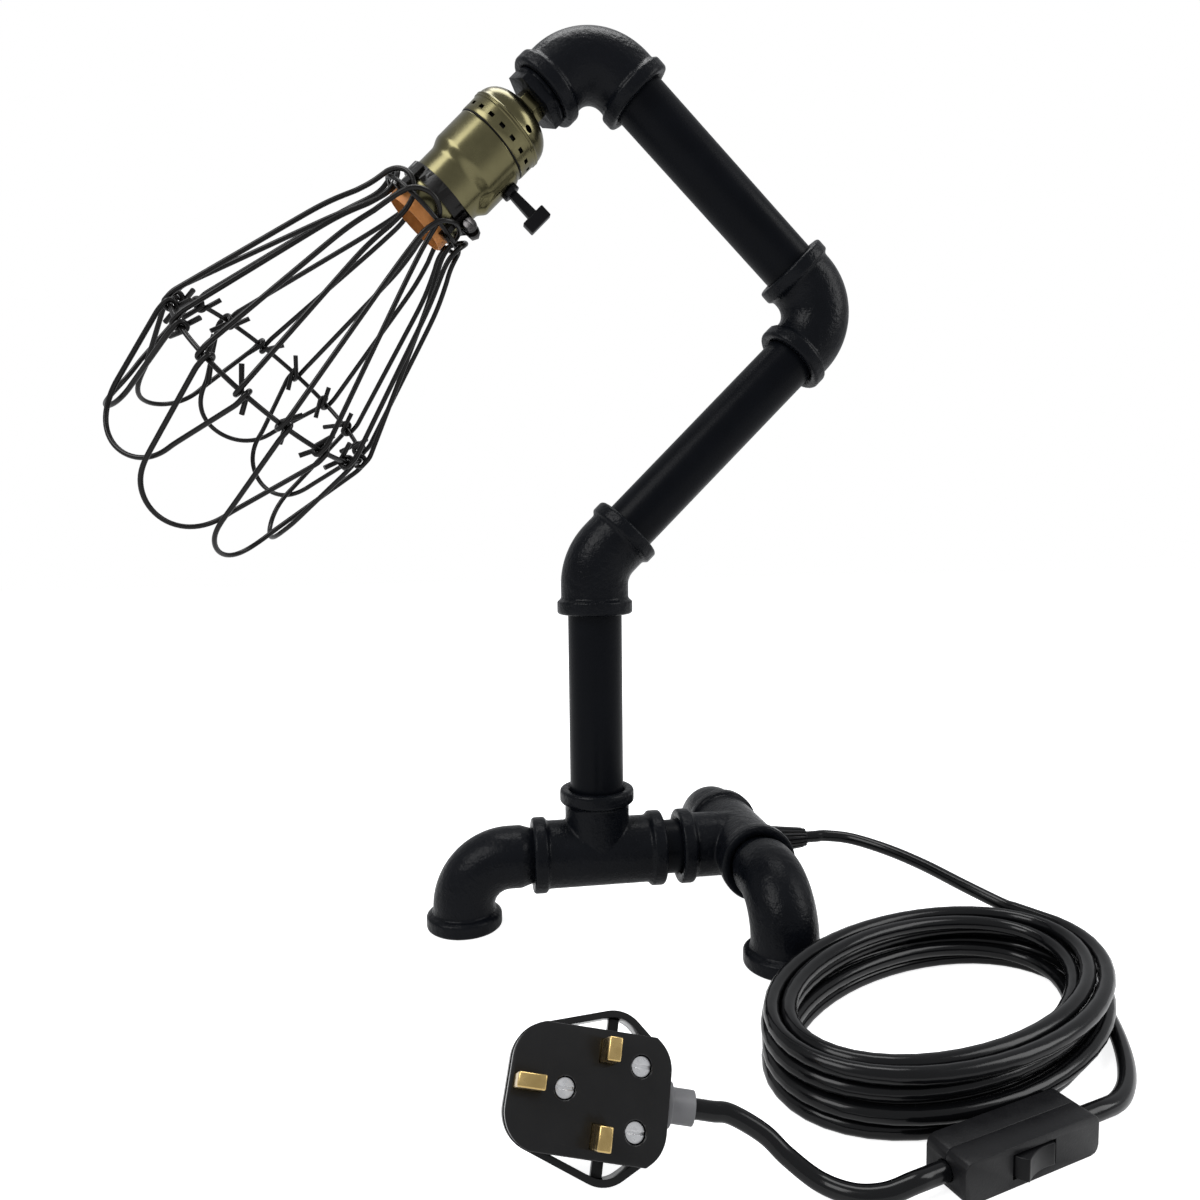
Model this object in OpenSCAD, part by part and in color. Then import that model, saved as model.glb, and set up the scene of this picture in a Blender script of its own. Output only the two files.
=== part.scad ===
// Table lamp built from threaded iron pipe and cast fittings, with a brass key
// socket, a wire bulb guard, and a lead with an in-line switch and a 13 A plug.
// Millimetres, +Z up. The lamp stands at z = 0; the origin is under the middle of it.

/* [Pipe] */
// Outside diameter of the pipe
pipe_d = 26.9; // [26:0.1:28]
// Wall of the pipe
pipe_wall = 2.9; // [2.3:0.1:3.2]
// Length of pipe that screws into a fitting
thread_len = 13.5; // [12:0.5:15]

/* [Castings] */
// Centre to face of the tees and the right-angle elbows
fit_a = 33.3; // [32:0.1:36]
// Centre to face of the 45 degree elbow
fit_c = 25; // [24:0.1:28]
// Centre to the end of a street elbow's male thread
street_j = 48; // [46:0.5:52]
// Diameter of the reinforcing band round each opening
band_d = 37.5; // [36.5:0.1:39]
// Width of a reinforcing band
band_w = 7.5; // [6:0.1:8]
// Diameter of a casting between its bands
body_d = 33.6; // [32.5:0.1:34.5]
// Diameter of the way through a casting
way_d = 22; // [20:0.1:23]
// Radius of a right-angle bend, on its middle line
bend_r = 23; // [21:0.5:24]

/* [Base and arms] */
// Gap between the faces of the two tees
base_gap = 8.2; // [4:0.1:30]
// Pipe that shows between the tee and the 45 degree elbow
post_len = 88.5; // [60:0.5:120]
// Pipe that shows between the 45 degree elbow and the knee
lower_len = 117; // [80:0.5:150]
// Pipe that shows between the knee and the top elbow
upper_len = 107.5; // [80:0.5:140]
// Turn of the head on its pipe, away from the viewer
head_turn = 2; // [0:1:10]

/* [Socket] */
// Diameter of the socket's cap
cap_d = 39.2; // [38:0.1:41]
// Height of the cap, from the neck to its lower edge
cap_len = 22.4; // [21:0.1:24]
// Diameter of the shell below its shoulder
shell_d = 34.4; // [33.5:0.1:35.5]
// Length of the shell
shell_len = 46.2; // [44:0.1:50]
// Thickness of the pressed brass
brass_wall = 0.7; // [0.5:0.05:0.9]
// Flange of the insulator that shows between cap and shell
flange_t = 1.2; // [0.8:0.1:1.6]
// Length of the fibre sleeve that shows below the shell
sleeve_show = 6; // [3:0.5:9]
// Bore of the lamp thread
lamp_bore = 26.4; // [26:0.1:27]
// Length of the key's stem outside the shell
key_stem = 15; // [12:0.5:20]
// Length of the key's cross bar
key_bar = 13; // [12:0.5:18]

/* [Guard] */
// Diameter of the guard's wire
wire_d = 2.3; // [1.8:0.1:2.6]
// Radius of the large ring
ring_r = 55.5; // [50:0.5:60]
// Distance from the shell's lower edge to the large ring
ring_drop = 109.5; // [95:0.5:120]
// Reach of the longest lower loop past the large ring
petal_reach = 74; // [60:1:80]
// Lean of the guard on its neck, away from the viewer, in degrees
guard_lean = 9.5; // [0:0.5:10]
// Twist of the large ring against the neck, in degrees
guard_twist = -10; // [-15:1:0]
// Width of the clamp band
clamp_w = 6.5; // [5:0.5:9]
// Thickness of the clamp band
clamp_t = 1.4; // [1:0.1:2]

/* [Lead] */
// Diameter of the lead
cord_d = 6; // [5:0.2:6.4]
// Length of the cord grip outside the tee
grip_len = 20.6; // [18:0.2:26]

/* [Switch] */
// Length of the in-line switch
sw_len = 56; // [50:1:62]
// Height of the in-line switch as it lies
sw_h = 13; // [12:0.5:24]
// Depth of the in-line switch, from its back to its face
sw_t = 15.5; // [15:0.5:20]

/* [Plug] */
// Width of the plug's body, across the two smaller pins
plug_w = 34; // [33:0.5:38]
// Length of the plug's body
plug_l = 48.5; // [44:0.5:50]
// Thickness of the plug's pin side and cover together
plug_t = 22; // [20:0.5:26]

/* [Hidden] */
$fn = 64;
bore_gap = 0.05;      // pipe to casting, screwed tight
swivel_gap = 0.08;    // pipe to casting, where the joint turns
seat_gap = 0.3;       // between curved faces that only lie near each other
end_gap = 1;          // pipe end to the bottom of its socket
bore_len = thread_len + end_gap;
bend_45 = (fit_c - bore_len) / tan(22.5);   // radius of the 45 degree bend
pipe_r = pipe_d / 2;
band_r = band_d / 2;
body_r = body_d / 2;
way_r = way_d / 2;
street_r = 15.4;      // outside radius of a street elbow's bend
rim = 0.9;            // chamfer on casting edges
lead_r = 3;           // lead inside the pipes
lead_gap = 0.2;       // lead to the holes that it passes
lead_split = bend_r + 2;   // the lead's parts meet this far before the middle of an elbow
grip_stem_r = 4.9;
grip_r = 7.2;
grip_tip_r = 5.1;

// Places along the lamp
tee_x = 2 * fit_a + base_gap;
street_out = street_j - thread_len;
foot_reach = fit_a + street_out;
elbow_z = 2 * fit_a + post_len + fit_c;
knee_at = fit_c + lower_len + fit_a;
top_at = 2 * fit_a + upper_len;

// Places along the head, from the top elbow's centre
bush_end = fit_a + 6.2;
neck_end = bush_end + 4.6;
cap_end = neck_end + cap_len;
shell_top = cap_end + flange_t;
shell_end = shell_top + shell_len;
sleeve_end = shell_end + sleeve_show;
cap_r = cap_d / 2;
wide_r = cap_r - 0.4;
shell_r = shell_d / 2;
shoulder_at = shell_top + 16.8;
shoulder_len = 5.8;

// Key and clamp
key_r = 2.4;
key_z = shell_top + 8.6;
boss_x = wide_r + 1;
boss_r = 8.2;
boss_low = shoulder_at + shoulder_len + 5;
bar_w = 6.3;
clamp_at = shell_end - 13.6;
clamp_end = clamp_at + clamp_w;
clamp_in = shell_r + 0.1;
clamp_out = clamp_in + clamp_t;
lug_gap = 3.4;
screw_r = 1.6;
screw_x = clamp_out + 4.2;
lug_turn = 20;                   // lugs stand this far from the key, towards the viewer

// Guard
loops = 8;
wire_r = wire_d / 2;
guard_phase = 36;
neck_wire_r = 1.1;
neck_ring_r = clamp_out + 3.4;
loop_top = clamp_end + wire_r + 0.4;      // middle of the wire at the top of an upper loop
neck_ring_at = loop_top + 6;
arch_r = 12.5;                   // top of an upper loop
arch_half = 30;                  // half the angle that it spans
skew = 0.102;                    // a loop's right leg lies outside its left one, mm a degree
bulge_at = 140;                  // legs of an upper loop bulge out here
bulge_r = 31.6;
bulge_skew = 2.7;
lean_over = 20;                  // the guard's lean comes in over this length
loop_half = 270 / loops;         // half the angle that a loop spans on the large ring
ring_at = shell_end + ring_drop;
hook_gap = 0.35;
hook_r = 2 * wire_r + hook_gap;  // middle of a hook's wire to the middle of the ring
hook_tail = 5;
hook_shift = 1.6;                // upper and lower hooks lie side by side on the ring
petal_arch = 20;
petal_half = 24;
petal_in = 4;                    // how far a lower loop leans in before its tip
petal_tip = 3;                   // and over its tip
petal_skew = 0.1;
petal_short = [16, 22, 18, 10, 0, 2, 12, 14];   // each lower loop is shorter than the longest by this

// Lead outside the lamp, as points along the middle of it
cord_r = cord_d / 2;
cord_fit = 0.05;
grip_seat = 15.6;                // flat on the tee, from the middle of the tee
grip_end = tee_x + grip_seat + grip_len;
coil_at = [113, -133];
coil_turn = -62;
coil_a = 51;                     // outermost turn, short and long half axes
coil_b = 84;
coil_start = 94;
coil_turns = 8 + 46 / 360;
coil_layers = 4;
coil_pitch = cord_d + 0.6;
coil_rise = cord_d + 0.5;
coil_steps = 24;                 // rings in a turn
coil_low = cord_r + 0.1;
sw_at = [98, -203.5];
sw_turn = 15;
rocker_l = 17;
rocker_h = 7;
rocker_tilt = 10;
plug_at = [-33, -177];
plug_turn = -13;
plug_tilt = 57;                  // the stiff lead holds the plug up on its near edge
plug_lift = 21;
plug_exit = 33.5;                // plug's middle to the end of its collar
plug_rim = 2;                    // wall outside a finger opening
plug_strut = 3.4;                // bar across a finger opening
plug_cord_z = 10;
plug_split = 12;                 // height of the seam between cover and pin side
pin_x = 3.8;                     // line and neutral pins, from the middle of the plug
earth_x = pin_x - 22.2;
screw_spots = [[-7.3, 0], [14.6, -8.6], [14.6, 8.6]];
lead_route = [[135, -5, 32.6], [148, -19, 30.8], [158.5, -37, 28.6], [168, -58.5, 25.6]];
link_route = [[173, -154, 3.1], [165.5, -165.5, 3.2], [156, -176.5, 3.6], [145.5, -186, 5]];
tail_route = [[50.5, -214.2, 4.6], [42, -211.5, 3.5], [34, -205.5, 4], [26.5, -199, 8], [20.5, -194.5, 13]];

mid_x = -50.5;                   // middle of the lamp's box, without the lead
mid_y = 0;

// ---------- frames ----------
module lamp() translate([-mid_x, -mid_y, 0]) children();
module on_tee() lamp() translate([0, 0, fit_a]) children();
module on_foot_tee() lamp() translate([tee_x, 0, fit_a]) children();
module on_elbow() lamp() translate([0, 0, elbow_z]) children();
module on_lower() on_elbow() rotate([0, 45, 0]) children();
module on_knee() on_lower() translate([0, 0, knee_at]) children();
module on_upper() on_knee() rotate([0, -90, 0]) children();
module on_top() on_upper() translate([0, 0, top_at]) rotate([0, 0, -head_turn]) children();
module on_head() on_top() rotate([0, -90, 0]) children();

// ---------- shapes that castings share ----------
// A round way that comes up Z, turns towards -X and goes on
module way(r, from, to, turn, bend) {
  run = bend * tan(turn / 2);
  lap = turn == 90 ? 0 : 0.5;      // straight parts reach a little into a slanting bend
  wide = r + lap / 25;
  translate([0, 0, -from]) cylinder(r = wide, h = from - run + lap);
  translate([-bend, 0, -run]) rotate([90, 0, 0])
    rotate_extrude(angle = turn) translate([bend, 0]) circle(r = r);
  rotate([0, -turn, 0]) translate([0, 0, run - lap]) cylinder(r = wide, h = to - run + lap);
}

// The band round an opening whose face is at z = face
module band(face) {
  translate([0, 0, face - band_w]) rotate_extrude()
    polygon([[body_r - 2, 0], [band_r - 1.6, 0], [band_r, 1.2], [band_r, band_w - rim],
      [band_r - rim, band_w], [body_r - 2, band_w]]);
}

// The threaded socket in an opening: a bore with a lead-in
module socket(face, gap) {
  bore_r = pipe_r + gap;
  translate([0, 0, face - bore_len]) cylinder(r = bore_r, h = bore_len + 1);
  translate([0, 0, face - rim]) cylinder(r1 = bore_r, r2 = bore_r + 2 * rim, h = 2 * rim);
}

module pipe(len) {
  difference() {
    cylinder(r = pipe_r, h = len);
    translate([0, 0, -1]) cylinder(r = pipe_r - pipe_wall, h = len + 2);
  }
}

// An elbow with two sockets; the second may be at any angle
module elbow(face, turn, bend, gap) {
  difference() {
    union() {
      way(body_r, face - 1, face - 1, turn, bend);
      rotate([180, 0, 0]) band(face);
      rotate([0, -turn, 0]) band(face);
    }
    way(way_r, face, face, turn, bend);
    rotate([180, 0, 0]) socket(face, gap);
    rotate([0, -turn, 0]) socket(face, bore_gap);
  }
}

// A street elbow: its male end comes from below, its socket looks towards -X
module street_elbow() {
  difference() {
    union() {
      way(street_r, street_out - 6, fit_a - 1, 90, bend_r);
      translate([0, 0, -street_out]) cylinder(r1 = pipe_r, r2 = street_r, h = 6);
      translate([0, 0, -street_j]) cylinder(r = pipe_r, h = thread_len);
      rotate([0, -90, 0]) band(fit_a);
    }
    way(way_r - 1.5, street_j + 1, fit_a, 90, bend_r);
    rotate([0, -90, 0]) socket(fit_a, bore_gap);
  }
}

module tee_body() {
  rotate([0, 90, 0]) translate([0, 0, 1 - fit_a]) cylinder(r = body_r, h = 2 * fit_a - 2);
  cylinder(r = body_r - 0.6, h = fit_a - 1);
  band(fit_a);
  for (side = [-90, 90]) rotate([0, side, 0]) band(fit_a);
}

module tee_ways() {
  rotate([0, 90, 0]) translate([0, 0, -fit_a]) cylinder(r = way_r, h = 2 * fit_a);
  cylinder(r = way_r - 0.4, h = fit_a);
  socket(fit_a, bore_gap);
  for (side = [-90, 90]) rotate([0, side, 0]) socket(fit_a, bore_gap);
}

// ---------- base ----------
module foot_elbow_left() {
  color("#2f3238") on_tee() translate([-foot_reach, 0, 0]) rotate([0, -90, 0]) street_elbow();
}

module foot_elbow(side) {
  color("#2f3238") on_foot_tee() translate([0, side * foot_reach, 0])
    rotate([0, 0, side * 90]) rotate([0, 90, 0]) mirror([1, 0, 0]) street_elbow();
}

module foot_elbow_front() foot_elbow(-1);
module foot_elbow_back() foot_elbow(1);

module post_tee() {
  color("#2f3238") on_tee() difference() {
    tee_body();
    tee_ways();
  }
}

module foot_tee() {
  color("#2f3238") on_foot_tee() difference() {
    rotate([0, -90, 0]) rotate([0, 0, 90]) tee_body();
    rotate([0, -90, 0]) rotate([0, 0, 90]) tee_ways();
    rotate([0, 90, 0]) cylinder(r = grip_stem_r + bore_gap, h = body_r + 1);
    translate([grip_seat, 0, 0]) rotate([0, 90, 0]) cylinder(r = grip_r + seat_gap, h = body_r);
  }
}

module base_nipple() {
  color("#2b2e33") on_tee() translate([fit_a - thread_len, 0, 0])
    rotate([0, 90, 0]) pipe(base_gap + 2 * thread_len);
}

module post_pipe() {
  color("#2b2e33") on_tee() translate([0, 0, fit_a - thread_len])
    pipe(post_len + 2 * thread_len);
}

// ---------- arms ----------
module elbow_45() {
  color("#2f3238") on_elbow() mirror([1, 0, 0]) elbow(fit_c, 45, bend_45, swivel_gap);
}

module lower_arm_pipe() {
  color("#2b2e33") on_lower() translate([0, 0, fit_c - thread_len])
    pipe(lower_len + 2 * thread_len);
}

module knee_elbow() {
  color("#2f3238") on_knee() elbow(fit_a, 90, bend_r, swivel_gap);
}

module upper_arm_pipe() {
  color("#2b2e33") on_upper() translate([0, 0, fit_a - thread_len])
    pipe(upper_len + 2 * thread_len);
}

module top_elbow() {
  color("#2f3238") on_top() elbow(fit_a, 90, bend_r, swivel_gap);
}

// ---------- lead inside the pipes ----------
module lead_base() {
  color("#2b2c2e") on_tee() rotate([0, 180, 0])
    way(lead_r, fit_a + post_len + thread_len - seat_gap, grip_end, 90, bend_r);
}

module lead_lower() {
  color("#2b2c2e") on_elbow() mirror([1, 0, 0])
    way(lead_r, fit_c - thread_len, knee_at - lead_split - seat_gap, 45, bend_45);
}

module lead_upper() {
  color("#2b2c2e") on_knee()
    way(lead_r, lead_split, top_at - lead_split - seat_gap, 90, bend_r);
}

module lead_head() {
  color("#2b2c2e") on_top() way(lead_r, lead_split, cap_end - 9.5, 90, bend_r);
}

module cord_grip() {
  ribs = 18;
  color("#232427") on_foot_tee() rotate([0, 90, 0]) difference() {
    union() {
      translate([0, 0, way_r - 5]) cylinder(r = grip_stem_r, h = grip_seat - way_r + 5);
      translate([0, 0, grip_seat]) cylinder(r1 = grip_r, r2 = grip_tip_r, h = grip_len - 1.6);
      translate([0, 0, grip_seat + grip_len - 1.6]) cylinder(r = grip_tip_r - 0.5, h = 1.6);
    }
    translate([0, 0, -1]) cylinder(r = lead_r + lead_gap, h = grip_seat + grip_len + 2);
    for (i = [0:ribs - 1]) rotate([0, 0, i * 360 / ribs])
      translate([grip_tip_r - 0.3, -0.35, grip_seat + 3])
        rotate([0, -atan((grip_r - grip_tip_r) / grip_len), 0]) cube([3, 0.7, grip_len + 2]);
  }
}

// ---------- socket ----------
module hex_bushing() {
  color("#2b2e33") on_head() difference() {
    union() {
      translate([0, 0, fit_a - thread_len]) cylinder(r = pipe_r, h = thread_len);
      translate([0, 0, fit_a]) cylinder(r = 14.6, h = 1.6);
      translate([0, 0, fit_a + 1.6]) cylinder(r = 15.6, h = bush_end - fit_a - 1.6, $fn = 6);
    }
    translate([0, 0, fit_a - bore_len]) cylinder(r = 5 + bore_gap, h = 2 * bore_len);
  }
}

module neck_nipple() {
  color("#8d8a68") on_head() difference() {
    union() {
      translate([0, 0, bush_end - 11]) cylinder(r = 5, h = 11 + neck_end - bush_end + 6);
      translate([0, 0, bush_end]) cylinder(r = 7.8, h = neck_end - bush_end, $fn = 6);
    }
    translate([0, 0, bush_end - 12]) cylinder(r = lead_r + 2 * lead_gap, h = 40);
  }
}

dome_h = 11;
function dome(r, lift) = [for (a = [90:-10:0])
  [7 + (r - 7) * cos(a), neck_end + 1 + lift + (dome_h - lift) * (1 - sin(a))]];

module socket_cap() {
  wall = brass_wall;
  color("#8d8a68") on_head() difference() {
    rotate_extrude() polygon(concat([[5 + bore_gap, neck_end]], [[7, neck_end]],
      dome(cap_r, 0),
      [[cap_r + 0.5, neck_end + 12.6], [cap_r + 0.5, neck_end + 13.4], [cap_r, neck_end + 14],
       [cap_r, cap_end], [cap_r - wall, cap_end]],
      [for (i = [9:-1:0]) dome(cap_r - wall, wall)[i]], [[5 + bore_gap, neck_end + 1 + wall]]));
    for (i = [0:13]) rotate([0, 0, i * 360 / 14])
      translate([cap_r - wall / 2, -1.1, cap_end - 5.4]) cube([2, 2.2, 1.6]);
  }
}

module socket_insulator() {
  inner = wide_r - brass_wall - seat_gap;
  color("#1f1f21") on_head() difference() {
    union() {
      translate([0, 0, cap_end - 9]) cylinder(r = cap_r - brass_wall - seat_gap - 1, h = 9);
      translate([0, 0, cap_end]) cylinder(r = cap_r + 0.6, h = flange_t);
      translate([0, 0, shell_top]) cylinder(r = inner, h = shoulder_at - shell_top);
    }
    translate([0, 0, key_z]) rotate([0, -90, 0]) cylinder(r = key_r + swivel_gap, h = cap_r + 1);
    translate([0, 0, shoulder_at - 3]) cylinder(r = 3.6, h = 4);
  }
}

module shell_outline(shrink) {
  polygon([[0, shell_top - shrink], [wide_r - shrink, shell_top - shrink],
    [wide_r - shrink, shoulder_at], [shell_r - shrink, shoulder_at + shoulder_len],
    [shell_r - shrink, shell_end + shrink], [0, shell_end + shrink]]);
}

module socket_shell() {
  color("#8d8a68") on_head() difference() {
    union() {
      rotate_extrude() shell_outline(0);
      translate([0, 0, key_z]) rotate([0, -90, 0]) cylinder(r = boss_r, h = boss_x);
      translate([-boss_x, -boss_r, key_z]) cube([10, 2 * boss_r, boss_low - key_z]);
    }
    rotate_extrude() shell_outline(brass_wall);
    translate([0, 0, key_z]) rotate([0, -90, 0]) cylinder(r = key_r + seat_gap, h = boss_x + 1);
  }
}

module turn_key() {
  stem_from = boss_x + seat_gap;
  color("#1b1b1d") on_head() translate([0, 0, key_z]) rotate([0, -90, 0]) {
    translate([0, 0, 4]) cylinder(r = key_r, h = stem_from + 1 - 4);
    translate([0, 0, stem_from]) cylinder(r = 4.6, h = 2.2);
    translate([-2.4, -2.2, stem_from + 1]) cube([4.8, 4.4, key_stem]);
    translate([-key_bar / 2, -2.6, stem_from + key_stem]) cube([key_bar, 5.2, bar_w]);
  }
}

module screw_shell() {
  color("#b9a86a") on_head() translate([0, 0, shoulder_at]) difference() {
    cylinder(r = lamp_bore / 2 + 0.8, h = shell_end - 1 - shoulder_at);
    translate([0, 0, 1]) cylinder(d = lamp_bore, h = shell_len);
    translate([0, 0, -1]) cylinder(r = 6, h = 3);
  }
}

module centre_contact() {
  color("#b9a86a") on_head() translate([0, 0, shoulder_at - 3 + bore_gap]) {
    cylinder(r = 3.4, h = 2.6);
    translate([0, 0, 2.6]) cylinder(r1 = 3.4, r2 = 2, h = 1);
  }
}

module fibre_sleeve() {
  from = shoulder_at + shoulder_len + 2;
  color("#b9703a") on_head() translate([0, 0, from]) difference() {
    cylinder(r = shell_r - brass_wall - seat_gap, h = sleeve_end - from);
    translate([0, 0, -1]) cylinder(r = lamp_bore / 2 + 0.8 + seat_gap, h = shell_len);
  }
}

// ---------- guard ----------
module on_lug() rotate([0, 0, lug_turn])
  translate([-screw_x, 0, clamp_at + clamp_w / 2]) rotate([90, 0, 0]) children();

module clamp_band() {
  tab_in = clamp_in + 0.2;
  tab_out = clamp_out + 1.3;
  foot_z = neck_ring_at + neck_wire_r + 0.1;
  half = lug_gap / 2;
  color("#25262a") on_head() difference() {
    union() {
      translate([0, 0, clamp_at]) cylinder(r = clamp_out, h = clamp_w);
      on_lug() for (z = [half, -half - clamp_t]) translate([0, 0, z]) {
        cylinder(r = clamp_w / 2, h = clamp_t);
        translate([0, -clamp_w / 2, 0]) cube([screw_x - clamp_in, clamp_w, clamp_t]);
      }
      for (i = [0:3]) rotate([0, 0, guard_phase + i * 90]) {
        translate([tab_in, -1.5, clamp_at + 1]) cube([tab_out - tab_in, 3, foot_z - clamp_at]);
        translate([tab_in, -1.5, foot_z]) cube([neck_ring_r + 1.2 - tab_in, 3, 1.4]);
      }
    }
    translate([0, 0, clamp_at - 1]) cylinder(r = clamp_in, h = 30);
    on_lug() translate([0, -clamp_w, -half]) cube([screw_x - clamp_in + 2, 2 * clamp_w, lug_gap]);
    on_lug() cylinder(r = screw_r + bore_gap, h = 20, center = true);
  }
}

module clamp_screw() {
  half = lug_gap / 2 + clamp_t;
  color("#77787c") on_head() on_lug() difference() {
    union() {
      translate([0, 0, -half - 4]) cylinder(r = screw_r, h = 2 * half + 4);
      translate([0, 0, half]) cylinder(r1 = 3.2, r2 = 2.6, h = 2);
    }
    translate([-4, -0.4, half + 1.2]) cube([8, 0.8, 2]);
  }
}

module clamp_nut() {
  half = lug_gap / 2 + clamp_t;
  color("#77787c") on_head() on_lug() translate([0, 0, -half - 2.4]) difference() {
    cylinder(r = 3.2, h = 2.4, $fn = 6);
    translate([0, 0, -1]) cylinder(r = screw_r + bore_gap, h = 5);
  }
}

module neck_ring() {
  color("#25262a") on_head() translate([0, 0, neck_ring_at]) rotate_extrude()
    translate([neck_ring_r, 0]) circle(r = neck_wire_r);
}

module guard_ring() {
  color("#25262a") on_head() translate([0, 0, loop_top]) rotate([-guard_lean, 0, 0])
    translate([0, 0, ring_at - loop_top]) rotate_extrude() translate([ring_r, 0]) circle(r = wire_r);
}

// ---------- tubes along a row of points ----------
function unit(v) = v / norm(v);
function heading(p, i) = unit(p[min(i + 1, len(p) - 1)] - p[max(i - 1, 0)]);
function carry(n, t) = unit(n - (n * t) * t);
function sides_of(p, n, i = 0) = i == len(p) ? [] :
  let (m = carry(n, heading(p, i))) concat([m], sides_of(p, m, i + 1));

module tube(p, r, sides) {
  t0 = heading(p, 0);
  first = abs(t0[2]) < 0.9 ? [0, 0, 1] : [1, 0, 0];
  normals = sides_of(p, first);
  last = (len(p) - 1) * sides;
  points = [for (i = [0:len(p) - 1], k = [0:sides - 1])
    let (a = 360 * (k + 0.5) / sides, n = normals[i])
      p[i] + r * (cos(a) * n + sin(a) * cross(heading(p, i), n))];
  walls = [for (i = [0:len(p) - 2], k = [0:sides - 1])
    let (a = i * sides + k, b = i * sides + (k + 1) % sides)
      each [[a, a + sides, b], [b, a + sides, b + sides]]];
  ends = [for (k = [1:sides - 2]) each [[0, k, k + 1], [last, last + k + 1, last + k]]];
  polyhedron(points, concat(walls, ends));
}

function polar(r, a, z) = [r * cos(a), r * sin(a), z];

// The end of a loop, bent round the large ring: dir is 1 from above and -1 from below
function hook(a, dir) = concat(
  [polar(ring_r + hook_r, a, ring_at - dir * hook_tail)],
  [for (b = [0:36:180]) polar(ring_r + hook_r * cos(b), a, ring_at + dir * hook_r * sin(b))],
  [polar(ring_r - hook_r, a, ring_at - dir * hook_tail)]);
function back(p) = [for (i = [len(p) - 1:-1:0]) p[i]];

function upper_arch(a) = [for (b = [0:18:180])
  let (off = arch_half * cos(b), drop = 1 - sin(b))
    polar(neck_ring_r + skew * off, a + off, loop_top + arch_r * drop)];
function upper_path(a) = concat(back(hook(a + guard_twist + loop_half + hook_shift, 1)),
  [polar(bulge_r + bulge_skew, a + arch_half, bulge_at)], upper_arch(a),
  [polar(bulge_r - bulge_skew, a - arch_half - 1.5, bulge_at)],
  hook(a + guard_twist - loop_half + hook_shift, 1));

function lower_arch(a, reach) = [for (b = [0:18:180])
  let (off = petal_half * cos(b))
    polar(ring_r - petal_in - petal_tip * sin(b) + petal_skew * off, a + off,
      ring_at + reach - petal_arch * (1 - sin(b)))];
function lower_path(a, reach) = concat(back(hook(a + loop_half - hook_shift, -1)),
  lower_arch(a, reach), hook(a - loop_half - hook_shift, -1));

// Points of the guard lean over gradually below its neck, and fully from there to its tips
function leaned(p) = let (down = p[2] - loop_top, a = guard_lean * min(max(down / lean_over, 0), 1))
  [p[0], p[1] * cos(a) + down * sin(a), loop_top + down * cos(a) - p[1] * sin(a)];
function all_leaned(p) = [for (q = p) leaned(q)];

module upper_loop(i) {
  color("#25262a") on_head()
    tube(all_leaned(upper_path(guard_phase + i * 360 / loops)), wire_r, 6);
}

module lower_loop(i) {
  color("#25262a") on_head() tube(all_leaned(lower_path(
    guard_phase + guard_twist + i * 360 / loops, petal_reach - petal_short[i])), wire_r, 6);
}

// ---------- lead outside ----------
function turned(v, a) = [v[0] * cos(a) - v[1] * sin(a), v[0] * sin(a) + v[1] * cos(a)];
function coil_place(t) =
  let (lay = t * coil_layers / coil_turns, n = floor(lay), part = lay - n,
    per = coil_turns / coil_layers,
    in = coil_pitch * per * (n % 2 == 0 ? part : 1 - part),
    turn_left = (lay - round(lay)) * per,
    step = round(lay) < 1 || round(lay) > coil_layers - 1 ? n :
      abs(turn_left) < 0.25 ? round(lay) - 0.5 + 2 * turn_left : n,
    level = coil_layers - 1 - min(step, coil_layers - 1),
    a = coil_start - 360 * t,
    xy = turned([(coil_a - in) * cos(a), (coil_b - in) * sin(a)], coil_turn))
  [coil_at[0] + xy[0], coil_at[1] + xy[1], coil_low + coil_rise * level];
coil_count = round(coil_turns * coil_steps);
coil_points = [for (i = [0:coil_count]) coil_place(i * coil_turns / coil_count)];
coil_in = coil_points[0];
coil_out = coil_points[coil_count];
coil_in_dir = unit(coil_points[1] - coil_points[0]);
coil_out_dir = unit(coil_points[coil_count] - coil_points[coil_count - 1]);
function flat(v) = unit([v[0], v[1], 0]);
coil_gaps = [for (i = [0:2:coil_count - 12], j = [i + 12:coil_count])
  norm(coil_points[i] - coil_points[j]) - cord_d];
echo(coil_self_gap = min(coil_gaps));

sw_dir = [cos(sw_turn), sin(sw_turn), 0];
sw_mid = [sw_at[0], sw_at[1], sw_h / 2];
plug_dir = [cos(plug_turn), sin(plug_turn) * cos(plug_tilt), sin(plug_turn) * sin(plug_tilt)];
plug_up = [0, -sin(plug_tilt), cos(plug_tilt)];
collar_end = [plug_at[0], plug_at[1], plug_lift] + plug_cord_z * plug_up + plug_exit * plug_dir;

lead_path = concat([for (i = [0:2]) [grip_end + i * cord_d, 0, fit_a]], lead_route,
  [for (i = [3:-1:1]) coil_in - i * cord_d * flat(coil_in_dir)]);
coil_path = concat([coil_in - cord_d * flat(coil_in_dir)], coil_points,
  [coil_out + cord_d * flat(coil_out_dir)]);
link_path = concat([for (i = [1:3]) coil_out + i * cord_d * flat(coil_out_dir)], link_route,
  [for (i = [2:-1:0]) sw_mid + (sw_len / 2 + i * cord_d) * sw_dir]);
tail_path = concat([for (i = [0:2]) sw_mid - (sw_len / 2 + i * cord_d) * sw_dir], tail_route,
  [for (i = [2:-1:0]) collar_end + i * cord_d * plug_dir]);

// A smooth curve through the points, with four rings to a stretch
function between(p, i, t) =
  let (a = p[max(i - 1, 0)], b = p[i], c = p[i + 1], d = p[min(i + 2, len(p) - 1)])
    0.5 * ((2 * b) + (c - a) * t + (2 * a - 5 * b + 4 * c - d) * t * t
      + (3 * b - a - 3 * c + d) * t * t * t);
function smooth(p) = concat([p[0]], [for (i = [0:len(p) - 2], k = [0:2])
  if (i + k > 0) between(p, i, k / 3)], [p[len(p) - 1]]);

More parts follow.
